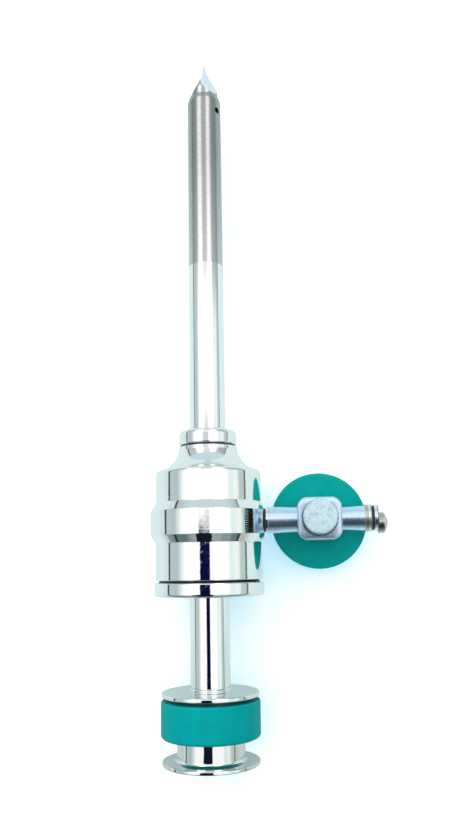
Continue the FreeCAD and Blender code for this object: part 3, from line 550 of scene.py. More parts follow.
mirror = mirrorSteel("mirror steel")
armMirror = mirrorSteel("mirror steel of the arm", armCentre, armTurn)
tube = tubeSteel()
pointFinish = pointSteel()
inner = turnedSteel("inner steel", innerLook)
satin = turnedSteel("satin steel", armLook, armCentre, armTurn)
warm = turnedSteel("warm steel", nozzleLook, armCentre, armTurn)
plugSteel = turnedSteel("plug steel", plugLook, plugCentre, plugTurn)
magnetSteel = turnedSteel("magnet", magnetLook)
blasted = nutSteel(plugCentre, plugTurn)
ringTeal = tealPolymer("teal polymer of the grip", gripLook)
discTeal = tealPolymer("teal polymer of the handle", wheelLook, plugCentre, plugTurn)
black = rubber("black rubber", (0.012, 0.012, 0.015), (0.03, 0.03, 0.035), 0.4)
blueBlack = rubber("blue-black gasket", (0.012, 0.016, 0.04), (0.03, 0.04, 0.08), 0.25)
silicone = rubber("grey silicone", (0.62, 0.64, 0.62), (0.72, 0.73, 0.70), 0.45)
print("materials made")


# Obturator

knob = {
    "flangeTop": 1.2, "cove": 1.1, "hubRad": 10.8, "shoulder": 8.0, "seatRad": 9.0, "socketRad": 3.05,
    "socketFoot": 7.4, "rim": 0.3}
knobMirror = mirrorSteel("mirror steel of the knob", faces=(knob["flangeTop"],))


def makeKnob():
    low, high = nodeBox("knob_hub")
    s = named(knob)
    piece = turnedPiece("knob_spool", [
        (0, low[2], 0), (high[0], low[2], s.rim), (high[0], s.flangeTop, s.rim),
        (s.hubRad, s.flangeTop, s.cove),
        (s.hubRad, s.shoulder, 0.1), (s.seatRad, s.shoulder, 0.1),
        (s.seatRad, high[2], 0.1), (s.socketRad, high[2], 0.1),
        (s.socketRad, s.socketFoot, 0.1), (0, s.socketFoot, 0)], 224)
    finishPiece(piece, "obturator", "knob_hub", knobMirror)


grip = {"inRound": 0.2, "footRound": 1.2, "topRound": 0.6, "topDrop": 0.6, "seatGap": 0.05}


def makeGripRing():
    s = named(grip)
    low, high = nodeBox("grip_ring")
    bore = knob["seatRad"] + s.seatGap
    top = high[2] - s.topDrop
    piece = turnedPiece("grip_ring_skin", [
        (bore, low[2], s.inRound), (high[0], low[2], s.footRound), (high[0], top, s.topRound),
        (bore, top, s.inRound)], 224, steps=12)
    finishPiece(piece, "obturator", "grip_ring", ringTeal)


guard = {"bore": 3.05, "shaftBore": 5.05, "top": 21.8, "footRad": 6.75, "rim": 0.4}
guardMirror = mirrorSteel("mirror steel of the guard", faces=(guard["top"],))


def makeGuardDisc():
    low, high = nodeBox("thrust_disc")
    s = named(guard)
    piece = turnedPiece("guard_disc", [
        (s.bore, low[2], 0.05), (high[0], low[2], s.rim), (high[0], s.top, s.rim),
        (s.footRad, s.top, 0.2), (s.footRad, high[2], 0.32),
        (s.shaftBore, high[2], 0.05), (s.shaftBore, s.top, 0.05), (s.bore, s.top, 0.05)], 224)
    finishPiece(piece, "obturator", "thrust_disc", guardMirror)


def makeNeck():
    low, high = nodeBox("neck_sleeve")
    piece = plainRing("neck_tube", guard["shaftBore"], high[0], low[2], high[2], (0.05, 0.12), 160)
    finishPiece(piece, "obturator", "neck_sleeve", mirror)


point = {
    "shaftRad": 5.0, "tailRad": 3.0, "shoulder": 21.8, "domeFoot": 231.6, "domeBend": 10.0,
    "coneTall": 7.0, "coneRad": 2.95, "wheel": 28.0, "lean": 4.0, "land": 77.0, "landColumns": 44,
    "flatColumns": 8, "edgeWidth": 0.012}


# Radius of the turned nose at a height: rod, then an arc, then a cone to the apex.
def noseRadius(z, apex):
    s = named(point)
    coneFoot = apex - s.coneTall
    start, end = (s.shaftRad, s.domeFoot), (s.coneRad, coneFoot)
    arc = np.array([(*start, 0)] + arcRun(start, end, s.domeBend, 60) + [(*end, 0)])
    radius = np.interp(z, arc[:, 1], arc[:, 0])
    radius = np.where(z > coneFoot, s.coneRad * (apex - z) / s.coneTall, radius)
    return np.where(z < s.domeFoot, s.shaftRad, radius)


# Distance of a hollow-ground flat from the axis: the wheel's circle, which leaves the apex at a lean.
def flatDistance(z, apex):
    lean = math.radians(point["lean"])
    down = apex + point["wheel"] * math.sin(lean) - z
    return point["wheel"] * math.cos(lean) - np.sqrt(np.maximum(point["wheel"] ** 2 - down ** 2, 0))


# The point is the lower of two surfaces at each angle a from a flat's middle: the nose's radius and
# flat distance / cos a. A flat ends where they meet, at cos a = flat distance / radius, so its columns
# spread over that angle and the land's columns fill the rest of each third.
def makeObturator():
    s = named(point)
    low, high = nodeBox("obturator_shaft")
    apex = high[2]
    z = np.linspace(s.domeFoot - 2, apex - 0.02, 4000)
    ratio = np.clip(flatDistance(z, apex) / noseRadius(z, apex), 0, 1)
    spread = np.arccos(ratio)
    limit = math.pi / 3
    fork = z[np.argmax(spread > limit)]
    rising = z < fork
    angles = np.linspace(0.02, limit - 0.01, 40)
    lower = np.interp(angles, spread[rising], z[rising])
    upper = fork + (apex - 0.03 - fork) * np.linspace(0, 1, 46) ** 0.9
    rod = np.concatenate([np.linspace(s.shoulder + 0.03, lower[0] - 0.1, 40), lower, upper])
    radius = noseRadius(rod, apex)
    flat = np.minimum(flatDistance(rod, apex), radius)
    half = np.arccos(np.clip(flat / radius, 0, 1))
    ridge = flat / np.cos(limit)
    edge = np.minimum(s.edgeWidth / np.maximum(np.minimum(ridge, radius), 0.03), 0.25)
    half = np.clip(half, 0.008, limit - edge)[:, None]
    share = np.linspace(-1, 1, s.flatColumns + 1)[None, :]
    onFlat = half * share
    onLand = half + (2 * limit - 2 * half) * np.linspace(0, 1, s.landColumns + 1)[None, 1:-1]
    third = np.concatenate([onFlat, onLand], axis=1)
    fromMiddle = np.abs(np.where(third > limit, third - 2 * limit, third))
    reach = np.minimum(radius[:, None], flat[:, None] / np.cos(np.minimum(fromMiddle, 1.4)))
    reach = np.where(half <= 0.0081, radius[:, None], reach)
    angle = np.concatenate([third + k * 2 * limit for k in range(3)], axis=1) + math.radians(s.land)
    reach = np.tile(reach, 3)
    levels = rod[:, None] * np.ones_like(angle)
    rows = np.stack([reach * np.cos(angle), reach * np.sin(angle), levels], axis=-1)
    tail = np.array([(s.tailRad - 0.3, low[2]), (s.tailRad, low[2] + 0.3),
                     (s.tailRad, s.shoulder - 0.02), (s.shaftRad - 0.1, s.shoulder)])
    first = angle[0]
    tailRows = np.stack([tail[:, :1] * np.cos(first), tail[:, :1] * np.sin(first),
                         tail[:, 1:] * np.ones_like(first)], axis=-1)
    piece = surfaceObject("pointed_shaft", np.concatenate([tailRows, rows]), False, 14)
    onGround = np.concatenate([np.ones_like(onFlat), np.zeros_like(onLand)], axis=1) * (half > 0.0081)
    onGround = np.concatenate([np.zeros((len(tailRows), angle.shape[1])), np.tile(onGround, 3)]).ravel()
    ground = piece.data.attributes.new("ground", "FLOAT", "POINT")
    ground.data.foreach_set("value", np.append(onGround, (0, 1)).astype(np.float32))
    finishPiece(piece, "obturator", "obturator_shaft", pointFinish)


makeKnob()
makeGripRing()
makeGuardDisc()
makeNeck()
makeObturator()
print("obturator made")


# Cannula

tubeForm = {
    "bore": 5.08, "rad": 6.0, "flangeRad": 7.7, "flangeFoot": 104.3, "flangeTop": 105.25, "hubRad": 6.3,
    "taperTall": 2.2, "endRad": 5.32, "ventRad": 1.15, "ventLevel": 224.0, "ventTurn": 58.0}


def makeTube():
    low, high = nodeBox("cannula_tube")
    s = named(tubeForm)
    taperFoot = high[2] - s.taperTall
    border = tubeLook["border"]
    hubTop = nodeBox("collar_nut")[1][2]
    piece = turnedPiece("cannula_pipe", [
        (s.bore, low[2], 0.05), (s.rad, low[2], 0.1), (s.rad, s.flangeFoot, 0.05),
        (s.flangeRad, s.flangeFoot, 0.1), (s.flangeRad, s.flangeTop, 0.1),
        (s.hubRad, s.flangeTop, 0.05), (s.hubRad, hubTop, 0.05), (s.rad, hubTop, 0.05),
        (s.rad, border, 0), (s.rad, s.ventLevel - 3, 0),
        (s.rad, taperFoot, 2.5), (s.endRad, high[2], 0.08), (s.bore, high[2], 0.05)], 192)
    turn = math.radians(s.ventTurn)
    out = np.array([math.sin(turn), -math.cos(turn), 0])
    side = np.cross((0, 0, 1), out)
    drill = turnedPiece("drill", [(0, -9, 0), (s.ventRad, -9, 0), (s.ventRad, 9, 0), (0, 9, 0)], 48,
                        np.stack([side, np.array([0, 0, 1.0]), out], axis=1), (0, 0, s.ventLevel))
    cutAway(piece, drill)
    finishPiece(piece, "cannula", "cannula_tube", tube)


collar = {"threadRad": 8.05, "lipGap": 0.05, "lipThick": 0.9, "shoulderRound": 1.5}


def makeCollarNut():
    s = named(collar)
    low, high = nodeBox("collar_nut")
    lip = tubeForm["hubRad"] + s.lipGap
    lipFoot = high[2] - s.lipThick
    piece = turnedPiece("collar_cap", [
        (s.threadRad, low[2], 0.1), (high[0], low[2], 0.5), (high[0], high[2], s.shoulderRound),
        (lip, high[2], 0.15), (lip, lipFoot, 0.05), (s.threadRad, lipFoot, 0.05)], 192, steps=12)
    finishPiece(piece, "cannula", "collar_nut", mirror)


def makeCollarGasket():
    low, high = nodeBox("collar_gasket")
    piece = plainRing("collar_seal", collar["threadRad"], high[0], low[2], high[2], (0.05, 0.25), 160)
    finishPiece(piece, "cannula", "collar_gasket", blueBlack)


shell = {
    "lowSlope": 68.7, "bandFoot": 71.2, "bandTop": 79.1, "highSlope": 81.9, "bodyRad": 17.6,
    "shoulder": 92.5, "shoulderRad": 15.6, "shoulderBend": 11.0, "neckRad": 9.8, "neckFoot": 99.4,
    "neckTop": 100.6, "spigotRad": 8.0, "tubeSeat": 6.05, "boreTop": 96.35, "guideRad": 5.13,
    "roofTop": 94.6, "roofFoot": 90.0, "chamberRad": 12.9, "chamberFoot": 66.95, "socketRad": 14.0,
    "spotReach": 17.95, "spotRad": 6.2, "portRad": 2.7, "portReach": 11.0, "outside": 24.0}


def makeHousing():
    s = named(shell)
    low, high = nodeBox("valve_housing")
    sweep = arcRun((s.shoulderRad, s.shoulder), (s.neckRad, s.neckFoot), -s.shoulderBend, 22)
    piece = turnedPiece("housing_shell", [
        (s.socketRad, low[2], 0.1), (s.bodyRad, low[2], 0.35), (s.bodyRad, s.lowSlope, 0.25),
        (high[1], s.bandFoot, 0.25), (high[1], s.bandTop, 0.25), (s.bodyRad, s.highSlope, 0.25),
        (s.bodyRad, s.shoulder, 1.3), (s.shoulderRad, s.shoulder, 0.1), *sweep,
        (s.neckRad, s.neckFoot, 0.1), (s.neckRad, s.neckTop, 0.2),
        (s.spigotRad, s.neckTop, 0.1), (s.spigotRad, high[2], 0.1),
        (s.tubeSeat, high[2], 0.1), (s.tubeSeat, s.boreTop, 0.1), (s.guideRad, s.boreTop, 0.05),
        (s.guideRad, s.roofTop, 0.1), (s.chamberRad, s.roofFoot, 0.2),
        (s.chamberRad, s.chamberFoot, 0.1), (s.socketRad, s.chamberFoot, 0.1)], 256, steps=8)
    for name, rad, reach, around in (("spot_cutter", s.spotRad, s.spotReach, 96),
                                     ("port_cutter", s.portRad, s.portReach, 64)):
        ends = [(0, reach, 0), (rad, reach, 0), (rad, s.outside, 0), (0, s.outside, 0)]
        cutAway(piece, turnedPiece(name, ends, around, alongX, armCentre))
    finishPiece(piece, "cannula", "valve_housing", mirror)


cap = {
    "mouth": 6.55, "rim": 1.1, "top": 56.05, "spigotRad": 13.95, "recessRad": 11.0, "floor": 53.4,
    "grooveOut": 16.75, "grooveIn": 14.85, "grooveFoot": 54.95}


def makeCap():
    low, high = nodeBox("end_cap")
    s = named(cap)
    piece = turnedPiece("screw_cap", [
        (s.mouth, low[2], 0.25), (high[0], low[2], s.rim), (high[0], s.top, 0.35),
        (s.grooveOut, s.top, 0.05), (s.grooveOut, s.grooveFoot, 0.05),
        (s.grooveIn, s.grooveFoot, 0.05), (s.grooveIn, s.top, 0.05),
        (s.spigotRad, s.top, 0.05), (s.spigotRad, high[2], 0.2), (s.recessRad, high[2], 0.1),
        (s.recessRad, s.floor, 0.1), (s.mouth, s.floor, 0.1)], 256, steps=9)
    finishPiece(piece, "cannula", "end_cap", mirror)


def makeCapRing():
    low, high = nodeBox("cap_oring")
    half = (high[2] - low[2]) / 2
    piece = ringPiece("cap_seal", high[0] - half, (low[2] + high[2]) / 2, half, half, 192)
    finishPiece(piece, "cannula", "cap_oring", black)


makeTube()
makeCollarNut()
makeCollarGasket()
makeHousing()
makeCap()
makeCapRing()
print("cannula made")


# Stopcock

arm = {
    "inletRad": 2.65, "rootRad": 4.35, "innerRad": 4.15, "blockWide": 14.4, "blockTall": 13.6,
    "blockDeep": 14.0, "corner": 3.3, "edge": 0.5, "outletRoot": 3.76, "outletRad": 4.02,
    "collarRad": 4.4, "collarReach": 51.6, "washerTop": 19.95, "overlap": 2.0, "sealBore": 3.55,
    "sealWaist": 0.12}


# A rounded rectangle carried through the block's depth. Each quarter of the outline is an arc about its
# corner centre; an inset moves the whole outline inwards and makes the bevel of the two faces.
def makeBlock():
    s = named(arm)
    quarter = np.linspace(0, math.pi / 2, 13)
    angle = np.concatenate([quarter + k * math.pi / 2 for k in range(4)])
    signX = np.repeat([1, -1, -1, 1], 13)
    signZ = np.repeat([1, 1, -1, -1], 13)
    half = s.blockDeep / 2
    inset = np.array([s.edge + 1.5, s.edge + 0.04, s.edge, 0.02, 0])
    inset = np.concatenate([inset, inset[::-1]])[:, None]
    depth = np.array([-half, -half, -half + 0.01, -half + s.edge, -half + s.edge + 0.04])
    depth = np.concatenate([depth, -depth[::-1]])[:, None]
    corner = np.maximum(s.corner - inset, 0.05)
    x = signX * (s.blockWide / 2 - s.corner) + corner * np.cos(angle)
    z = signZ * (s.blockTall / 2 - s.corner) + corner * np.sin(angle)
    rows = np.stack([plugReach + x, depth * np.ones_like(x), armLevel + z], axis=-1)
    return surfaceObject("cock_block", rows, False, 20)


def makeStopcockBody():
    s = named(arm)
    low, high = nodeBox("stopcock_body")
    halfBlock = s.blockWide / 2
    inlet = turnedPiece("inlet_arm", [
        (0, low[0], 0), (s.inletRad, low[0], 0.3), (s.inletRad, s.washerTop, 0.05),
        (s.rootRad, s.washerTop, 0.25), (s.innerRad, plugReach - halfBlock, 0.1),
        (s.innerRad, plugReach - s.overlap, 0), (0, plugReach - s.overlap, 0)], 128, alongX, armCentre)
    end = high[0]
    outlet = turnedPiece("outlet_arm", [
        (0, plugReach + s.overlap, 0), (s.outletRoot, plugReach + s.overlap, 0),
        (s.outletRoot, plugReach + halfBlock, 0.5), (s.outletRad, s.collarReach, 0.1),
        (s.collarRad, s.collarReach, 0.05), (s.collarRad, end, 0.2), (0, end, 0)], 128, alongX, armCentre)
    piece = joinPieces("cock_body", [makeBlock(), inlet, outlet])
    finishPiece(piece, "cannula", "stopcock_body", satin)


def makeArmRings():
    low, high = nodeBox("boss_oring")
    half = (high[0] - low[0]) / 2
    middle = (low[0] + high[0]) / 2
    piece = ringPiece("boss_seal", high[1] - half, middle, half, half, 112, alongX, armCentre)
    finishPiece(piece, "cannula", "boss_oring", black)
    low, high = nodeBox("boss_washer")
    bore = arm["inletRad"] + 0.05
    piece = plainRing("boss_disc", bore, high[1], low[0], high[0], (0.05, 0.12), 128, alongX, armCentre)
    finishPiece(piece, "cannula", "boss_washer", armMirror)
    low, high = nodeBox("outlet_gasket")
    bore, rad = arm["sealBore"], high[1]
    piece = turnedPiece("outlet_seal", [
        (bore, low[0], 0.05), (rad, low[0], 0.3), (rad - arm["sealWaist"], (low[0] + high[0]) / 2, 0.2),
        (rad, high[0], 0.3), (bore, high[0], 0.05)], 112, alongX, armCentre)
    finishPiece(piece, "cannula", "outlet_gasket", black)


nozzle = {
    "spigotRad": 3.5, "flangeRad": 4.2, "flangeThick": 1.35, "hubRad": 3.37, "hubLong": 2.92,
    "socketRad": 2.47, "sunk": 0.2, "noseLong": 1.0, "noseRad": 1.15, "drop": 1.6, "boreRad": 0.9,
    "boreDeep": 5.0}


def makeNozzle():
    s = named(nozzle)
    low, high = nodeBox("outlet_nozzle")
    flangeTop = high[0] - s.hubLong
    flangeFoot = flangeTop - s.flangeThick
    flange = turnedPiece("nozzle_flange", [
        (0, low[0], 0), (s.spigotRad, low[0], 0.2), (s.spigotRad, flangeFoot, 0.05),
        (s.flangeRad, flangeFoot, 0.12), (s.flangeRad, flangeTop, 0.12), (0, flangeTop, 0)],
        160, alongX, armCentre)
    hubCentre = (0, 0, armLevel - s.drop)
    noseFoot = high[0] - s.noseLong
    bottom = high[0] - s.boreDeep
    hubFoot = flangeTop - s.sunk
    hub = turnedPiece("nozzle_hub", [
        (s.boreRad, bottom, 0.05), (s.socketRad, bottom, 0.05), (s.socketRad, hubFoot, 0.05),
        (s.hubRad, hubFoot, 0.05), (s.hubRad, noseFoot, 0.35), (s.noseRad, high[0], 0.12),
        (s.boreRad, high[0], 0.08)], 160, alongX, hubCentre, None, 30)
    piece = joinPieces("gas_nozzle", [flange, hub])
    finishPiece(piece, "cannula", "outlet_nozzle", warm)


makeStopcockBody()
makeArmRings()
makeNozzle()

nutForm = {
    "edge": 0.3, "bore": 2.04, "teeth": 44, "deep": 0.36, "roof": 5.0, "face": -0.06, "back": 0.28,
    "toothFrom": 4.9, "toothBlend": 0.4, "steep": 2.6, "valley": 0.3}


# The nut's radius falls by a triangle wave of the angle, one tooth per period, everywhere on its side.
def knurl(radius, height, angle):
    s = named(nutForm)
    phase = np.mod(angle * s.teeth / (2 * math.pi), 1)
    wave = np.clip(np.abs(phase - 0.5) * s.steep - s.valley, 0, 1)
    side = np.clip((radius - s.toothFrom) / s.toothBlend, 0, 1)
    return radius - s.deep * (1 - wave) * side, height


def makeNut():
    low, high = nodeBox("knurled_nut")
    s = named(nutForm)
    rad = (high[0] - low[0]) / 2 + s.face
    back = rad + s.back - s.face
    front = low[1] + s.edge
    share = np.linspace(0.05, 0.95, 6)
    sides = [(rad + (back - rad) * k, front + (high[1] - front) * k, 0) for k in share]
    piece = turnedPiece("round_nut", [
        (0, low[1], 0), (rad - s.edge - 0.4, low[1], 0), (rad - s.edge, low[1], 0.1),
        (rad, low[1] + s.edge, 0.1), *sides, (back, high[1], 0.15), (s.bore, high[1], 0.05),
        (s.bore, low[1] + s.roof, 0.05), (0, low[1] + s.roof, 0)],
        s.teeth * 10, alongY, plugCentre, knurl, 32)
    finishPiece(piece, "tap", "knurled_nut", blasted)


handle = {"edge": 0.9, "bore": 1.45, "headRad": 3.45, "driveRad": 3.0}


def makeHandle():
    low, high = discLow, discHigh
    s = named(handle)
    rad = (high[0] - low[0]) / 2
    sink = high[1] - (s.headRad - s.bore)
    piece = turnedPiece("handle_wheel", [
        (s.driveRad, low[1], 0.05), (rad, low[1], s.edge), (rad, high[1], s.edge),
        (s.headRad, high[1], 0.1), (s.bore, sink, 0.05), (s.bore, low[1] + 1, 0.05),
        (s.driveRad, low[1] + 1, 0.05)], 256, alongY, plugCentre, steps=12)
    finishPiece(piece, "tap", "handle_disc", discTeal)


screw = {"shankRad": 1.3, "slotWide": 0.9, "slotDeep": 0.9}


def makeScrew():
    low, high = nodeBox("handle_screw")
    s = named(screw)
    head = (high[2] - low[2]) / 2
    coneFoot = high[1] - (head - s.shankRad)
    piece = turnedPiece("slot_screw", [
        (0, low[1], 0), (s.shankRad, low[1], 0.2), (s.shankRad, coneFoot, 0.1),
        (head, high[1], 0.08), (0, high[1], 0)], 96, alongY, plugCentre)
    across = turnedPiece("slot_cutter", [
        (0, -s.slotWide / 2, 0), (12, -s.slotWide / 2, 0), (12, s.slotWide / 2, 0),
        (0, s.slotWide / 2, 0)], 48, alongZ,
        (plugReach, high[1] - s.slotDeep + 12, armLevel))
    cutAway(piece, across)
    finishPiece(piece, "tap", "handle_screw", plugSteel)


makeNut()
makeHandle()
makeScrew()
print("stopcock made")

# The pieces inside keep their own solids, with finishes of their own.
insideFinish = {
    "stop_washer": inner, "lip_seal": silicone, "valve_cartridge": inner, "valve_magnet": magnetSteel,
    "flap_pin": inner, "valve_flap": inner, "flap_gasket": silicone, "stopcock_plug": plugSteel,
    "plug_spring": plugSteel}
for node, finish in insideFinish.items():
    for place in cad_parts[node].material_slots:
        place.material = finish


# Stage, light and camera

view = {
    "place": (30.26, -267.96, 62.65), "turn": 4.29, "pitch": 10.89, "roll": -1.06, "focal": 800.0,
    "tall": 814.0, "sensor": 36.0}


def makeCamera():
    turn, pitch, roll = (math.radians(view[key]) for key in ("turn", "pitch", "roll"))
    ahead = Vector((-math.sin(turn) * math.cos(pitch), math.cos(turn) * math.cos(pitch), math.sin(pitch)))
    level = ahead.cross(Vector((0, 0, 1))).normalized()
    upright = level.cross(ahead)
    right = level * math.cos(roll) + upright * math.sin(roll)
    up = upright * math.cos(roll) - level * math.sin(roll)
    data = bpy.data.cameras.new("camera")
    data.sensor_width = view["sensor"]
    data.lens = view["sensor"] * view["focal"] / view["tall"]
    data.clip_start = 0.01
    camera = addObject("camera", data)
    turned = Matrix((right, up, -ahead)).transposed().to_4x4()
    camera.matrix_world = Matrix.Translation(Vector(view["place"]) * mm) @ turned
    bpy.context.scene.camera = camera


table = {
    "depth": 19.3, "left": -143, "right": 420, "low": -320, "high": 560, "glow": (0.13, 0.50, 0.76),
    "paint": (0.99, 0.64, 0.36), "mirrorGlow": (0.44, 0.60, 0.68), "mirrorPaint": (0.28, 0.27, 0.21),
    "dim": (-30, 40, 0.36)}


# The trocar lies on its side on a pale table, so the table is the upright plane behind it. Bright
# steel shows it a little bluer than the eye does. Seen from behind it lets the view through.
def makeTable():
    s = named(table)
    material = bpy.data.materials.new("pale table")
    openTree(material).nodes.clear()
    mirrored = addNode("LightPath").outputs["Is Glossy Ray"]
    height = axisOf(addNode("TexCoord").outputs["Object"], "Z")
    # Painted shade: in reflections the table's glow dims towards its low end, near the knob.
    low, high, least = s.dim
    dim = mixNumber(mirrored, 1.0, remap(height, low * mm, high * mm, least, 1))
    colour = mixColour(mirrored, s.paint, s.mirrorPaint)
    paint = addNode("BsdfDiffuse", (), {"Color": colour}).outputs[0]
    colour = mixColour(mirrored, s.glow, s.mirrorGlow)
    glow = addNode("Emission", (), {"Color": colour, "Strength": dim}).outputs[0]
    lit = addNode("AddShader", (), {0: paint, 1: glow}).outputs[0]
    behind = addNode("BsdfTransparent").outputs[0]
    away = addNode("NewGeometry").outputs["Backfacing"]
    both = addNode("MixShader", (), {0: away, 1: lit, 2: behind}).outputs[0]
    addNode("OutputMaterial", (), {"Surface": both})
    mesh = bpy.data.meshes.new("table")
    left, right, low, high = s.left, s.right, s.low, s.high
    corners = ((left, low), (right, low), (right, high), (left, high))
    mesh.from_pydata([(x * mm, s.depth * mm, z * mm) for x, z in corners], [], [(0, 1, 2, 3)])
    mesh.materials.append(material)
    piece = addObject("table", mesh)


# Azimuth runs from the viewer's side (0) to the right (90), and elevation upwards, both in degrees.
# The sweep is the room's colour round about, and high is its colour from highFrom degrees up.
room = {
    "sweep": ((-180, (0.70, 0.85, 0.88)), (-86, (0.70, 0.84, 0.88)), (-85, (0.52, 0.64, 0.65)),
    (-64, (0.48, 0.60, 0.61)), (-59, (0.64, 0.76, 0.77)), (-46, (1.14, 1.16, 1.16)),
    (46, (1.14, 1.16, 1.16)), (52, (0.84, 0.97, 0.96)), (60, (0.84, 0.97, 0.96)),
    (65, (0.95, 1.04, 1.03)), (71, (0.93, 1.02, 1.01)), (77, (0.54, 0.66, 0.64)),
    (91, (0.52, 0.64, 0.62)), (94, (0.80, 0.94, 0.92)), (180, (0.70, 0.85, 0.88))),
    "high": ((-180, (0.74, 0.82, 0.84)), (-94, (0.70, 0.78, 0.80)), (-84, (0.50, 0.58, 0.58)),
    (-56, (0.52, 0.58, 0.58)), (-48, (0.80, 0.82, 0.82)), (-41, (2.3, 2.3, 2.3)), (-20, (2.3, 2.3, 2.3)),
    (-14, (0.82, 0.83, 0.83)), (15, (0.82, 0.83, 0.83)), (21, (2.3, 2.3, 2.3)), (38, (2.3, 2.3, 2.3)),
    (45, (0.80, 0.82, 0.82)), (56, (0.46, 0.52, 0.52)), (86, (0.36, 0.44, 0.44)),
    (98, (0.80, 0.90, 0.90)), (180, (0.74, 0.82, 0.84))), "highFrom": 19.0, "highBlend": 3.0,
    "zenith": (0.62, 0.76, 0.81), "zenithFrom": 54.0, "zenithBlend": 7.0, "lift": (9, 19, 34, 46),
    "liftGain": 0.6, "liftFront": 47, "liftBlend": 4, "liftAgain": (33, 38),
    "floor": ((-90, (0.30, 0.36, 0.36)), (-66, (0.30, 0.36, 0.36)), (-46, (0.24, 0.28, 0.30)),
    (-16, (0.84, 0.84, 0.84)), (-7, (1, 1, 1)), (90, (1, 1, 1))),
    "lines": ((-90, -84.5, (0.07, 0.10, 0.11)), (89.2, 94.5, (0.15, 0.20, 0.20))), "lineSoft": 0.8,
    "softToward": (-0.14, -0.86, 0.49), "softFrom": 0.25, "softDim": 0.34, "softBright": 2.1}
flag = {
    "middle": -2.5, "half": 10.5, "top": 4.0, "foot": -76.0, "endSoft": 1.1, "sideSoft": 1.2,
    "widenFrom": -7.0, "widenRate": 0.8, "widenMost": 15.0, "drift": -0.45, "waver": 3.0,
    "high": (0.003, 0.004, 0.045), "low": (0.006, 0.010, 0.022), "lowFrom": (-12, -7),
    "traceSpan": (7.5, 10.5), "traceSoft": 1.0, "traceShare": 0.4}


def toDegrees(angle):
    return times(angle, 180 / math.pi)


# Colours at stops along a value, in degrees, with straight blends between them.
def ramp(value, stops):
    low, high = stops[0][0], stops[-1][0]
    node = addNode("ValToRGB", (), {0: remap(value, low, high, 0, 1)})
    keys = node.color_ramp.elements
    keys[0].color, keys[1].color = (*stops[0][1], 1), (*stops[-1][1], 1)
    for place, colour in stops[1:-1]:
        keys.new((place - low) / (high - low)).color = (*colour, 1)
    return node.outputs[0]


# One between low and high, nothing outside, with soft edges.
def band(value, low, high, soft):
    rise = remap(minus(value, low), -soft, soft, 0, 1, True)
    fall = remap(minus(value, high), -soft, soft, 1, 0, True)
    return times(rise, fall)


# How much a dark flag covers: an upright band with wavering ends, and wider towards its foot.
def flagShare(direction, azimuth, elevation):
    s = named(flag)
    waver = noise(direction, 9, 3, 0.7, (0.4, 0.4, 8))
    wavy = plus(elevation, times(waver, s.waver))
    upright = band(wavy, s.foot, s.top, s.endSoft)
    trace = times(band(elevation, *s.traceSpan, s.traceSoft), s.traceShare)
    upright = plus(upright, trace)
    under = calculate("MAXIMUM", minus(s.widenFrom, elevation), 0.0)
    widening = calculate("MINIMUM", times(under, s.widenRate), s.widenMost)
    half = plus(s.half, widening)
    middle = plus(s.middle, times(widening, s.drift))
    away = calculate("ABSOLUTE", minus(azimuth, middle))
    inside = remap(minus(away, half), -s.sideSoft, s.sideSoft, 1, 0, True)
    return times(inside, upright)


# How much the front of the room is lifted: between the first and last of four levels, less a gap.
def frontLift(azimuth, elevation):
    s = named(room)
    lowFoot, lowTop, highFoot, highTop = s.lift
    rising = remap(elevation, lowFoot, lowTop, 0, 1, True)
    falling = remap(elevation, highFoot, highTop, 1, 0, True)
    below = remap(elevation, s.highFrom - s.highBlend, s.highFrom + s.highBlend, 1, 0, True)
    again = remap(elevation, *s.liftAgain, 0, 1, True)
    window = times(calculate("MAXIMUM", below, again), times(rising, falling))
    window = times(window, band(azimuth, -s.liftFront, s.liftFront, s.liftBlend))
    return plus(1.0, times(window, s.liftGain))


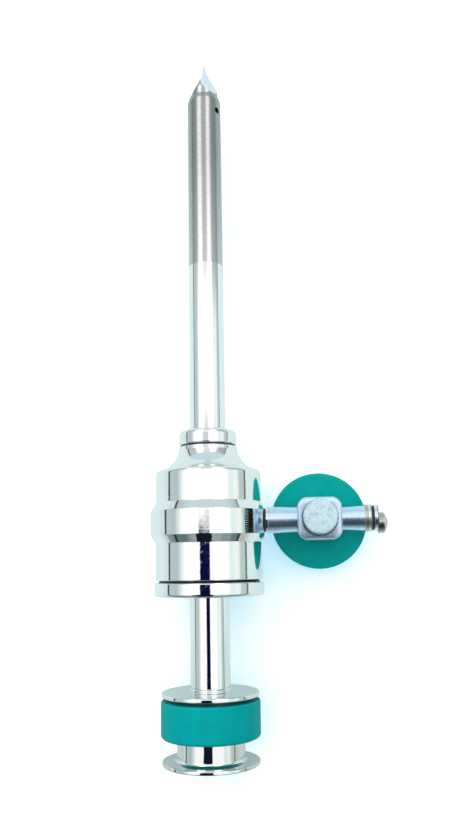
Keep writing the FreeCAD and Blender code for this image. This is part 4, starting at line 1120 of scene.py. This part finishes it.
# The room is a colour for each direction. Matt surfaces see a soft light that is brightest towards one
# side instead, and the camera sees white.
def makeRoom():
    s = named(room)
    world = bpy.data.worlds.new("room")
    bpy.context.scene.world = world
    openTree(world).nodes.clear()
    direction = addNode("TexCoord").outputs["Generated"]
    parts = addNode("SeparateXYZ", (), {0: direction})
    back = times(parts.outputs["Y"], -1.0)
    azimuth = toDegrees(calculate("ARCTAN2", parts.outputs["X"], back))
    elevation = toDegrees(calculate("ARCSINE", parts.outputs["Z"]))
    share = remap(elevation, s.highFrom - s.highBlend, s.highFrom + s.highBlend, 0, 1, True)
    colour = mixColour(share, ramp(azimuth, s.sweep), ramp(azimuth, s.high))
    colour = scaleColour(colour, frontLift(azimuth, elevation))
    for low, top, dark in s.lines:
        colour = mixColour(band(azimuth, low, top, s.lineSoft), colour, dark)
    inputs = {0: colour, 1: ramp(elevation, s.floor)}
    colour = addNode("VectorMath", {"operation": "MULTIPLY"}, inputs).outputs[0]
    low, top = s.zenithFrom - s.zenithBlend, s.zenithFrom + s.zenithBlend
    colour = mixColour(remap(elevation, low, top, 0, 1, True), colour, s.zenith)
    tone = mixColour(remap(elevation, *flag["lowFrom"], 1, 0), flag["high"], flag["low"])
    colour = mixColour(flagShare(direction, azimuth, elevation), colour, tone)
    rays = addNode("LightPath").outputs
    toward = {0: direction, 1: Vector(s.softToward).normalized()}
    facing = addNode("VectorMath", {"operation": "DOT_PRODUCT"}, toward).outputs["Value"]
    soft = remap(facing, s.softFrom, 1, s.softDim, s.softBright, True)
    soft = addNode("CombineXYZ", (), {0: soft, 1: soft, 2: soft}).outputs[0]
    colour = mixColour(rays["Is Diffuse Ray"], colour, soft)
    lit = addNode("Background", (), {"Color": colour, "Strength": 1.0}).outputs[0]
    seen = addNode("Background", (), {"Color": (1, 1, 1, 1), "Strength": 1.0}).outputs[0]
    both = addNode("MixShader", (), {0: rays["Is Camera Ray"], 1: lit, 2: seen}).outputs[0]
    addNode("OutputWorld", (), {"Surface": both})


makeCamera()
makeTable()
makeRoom()
bpy.context.scene.view_settings.view_transform = "Standard"
print("stage made")
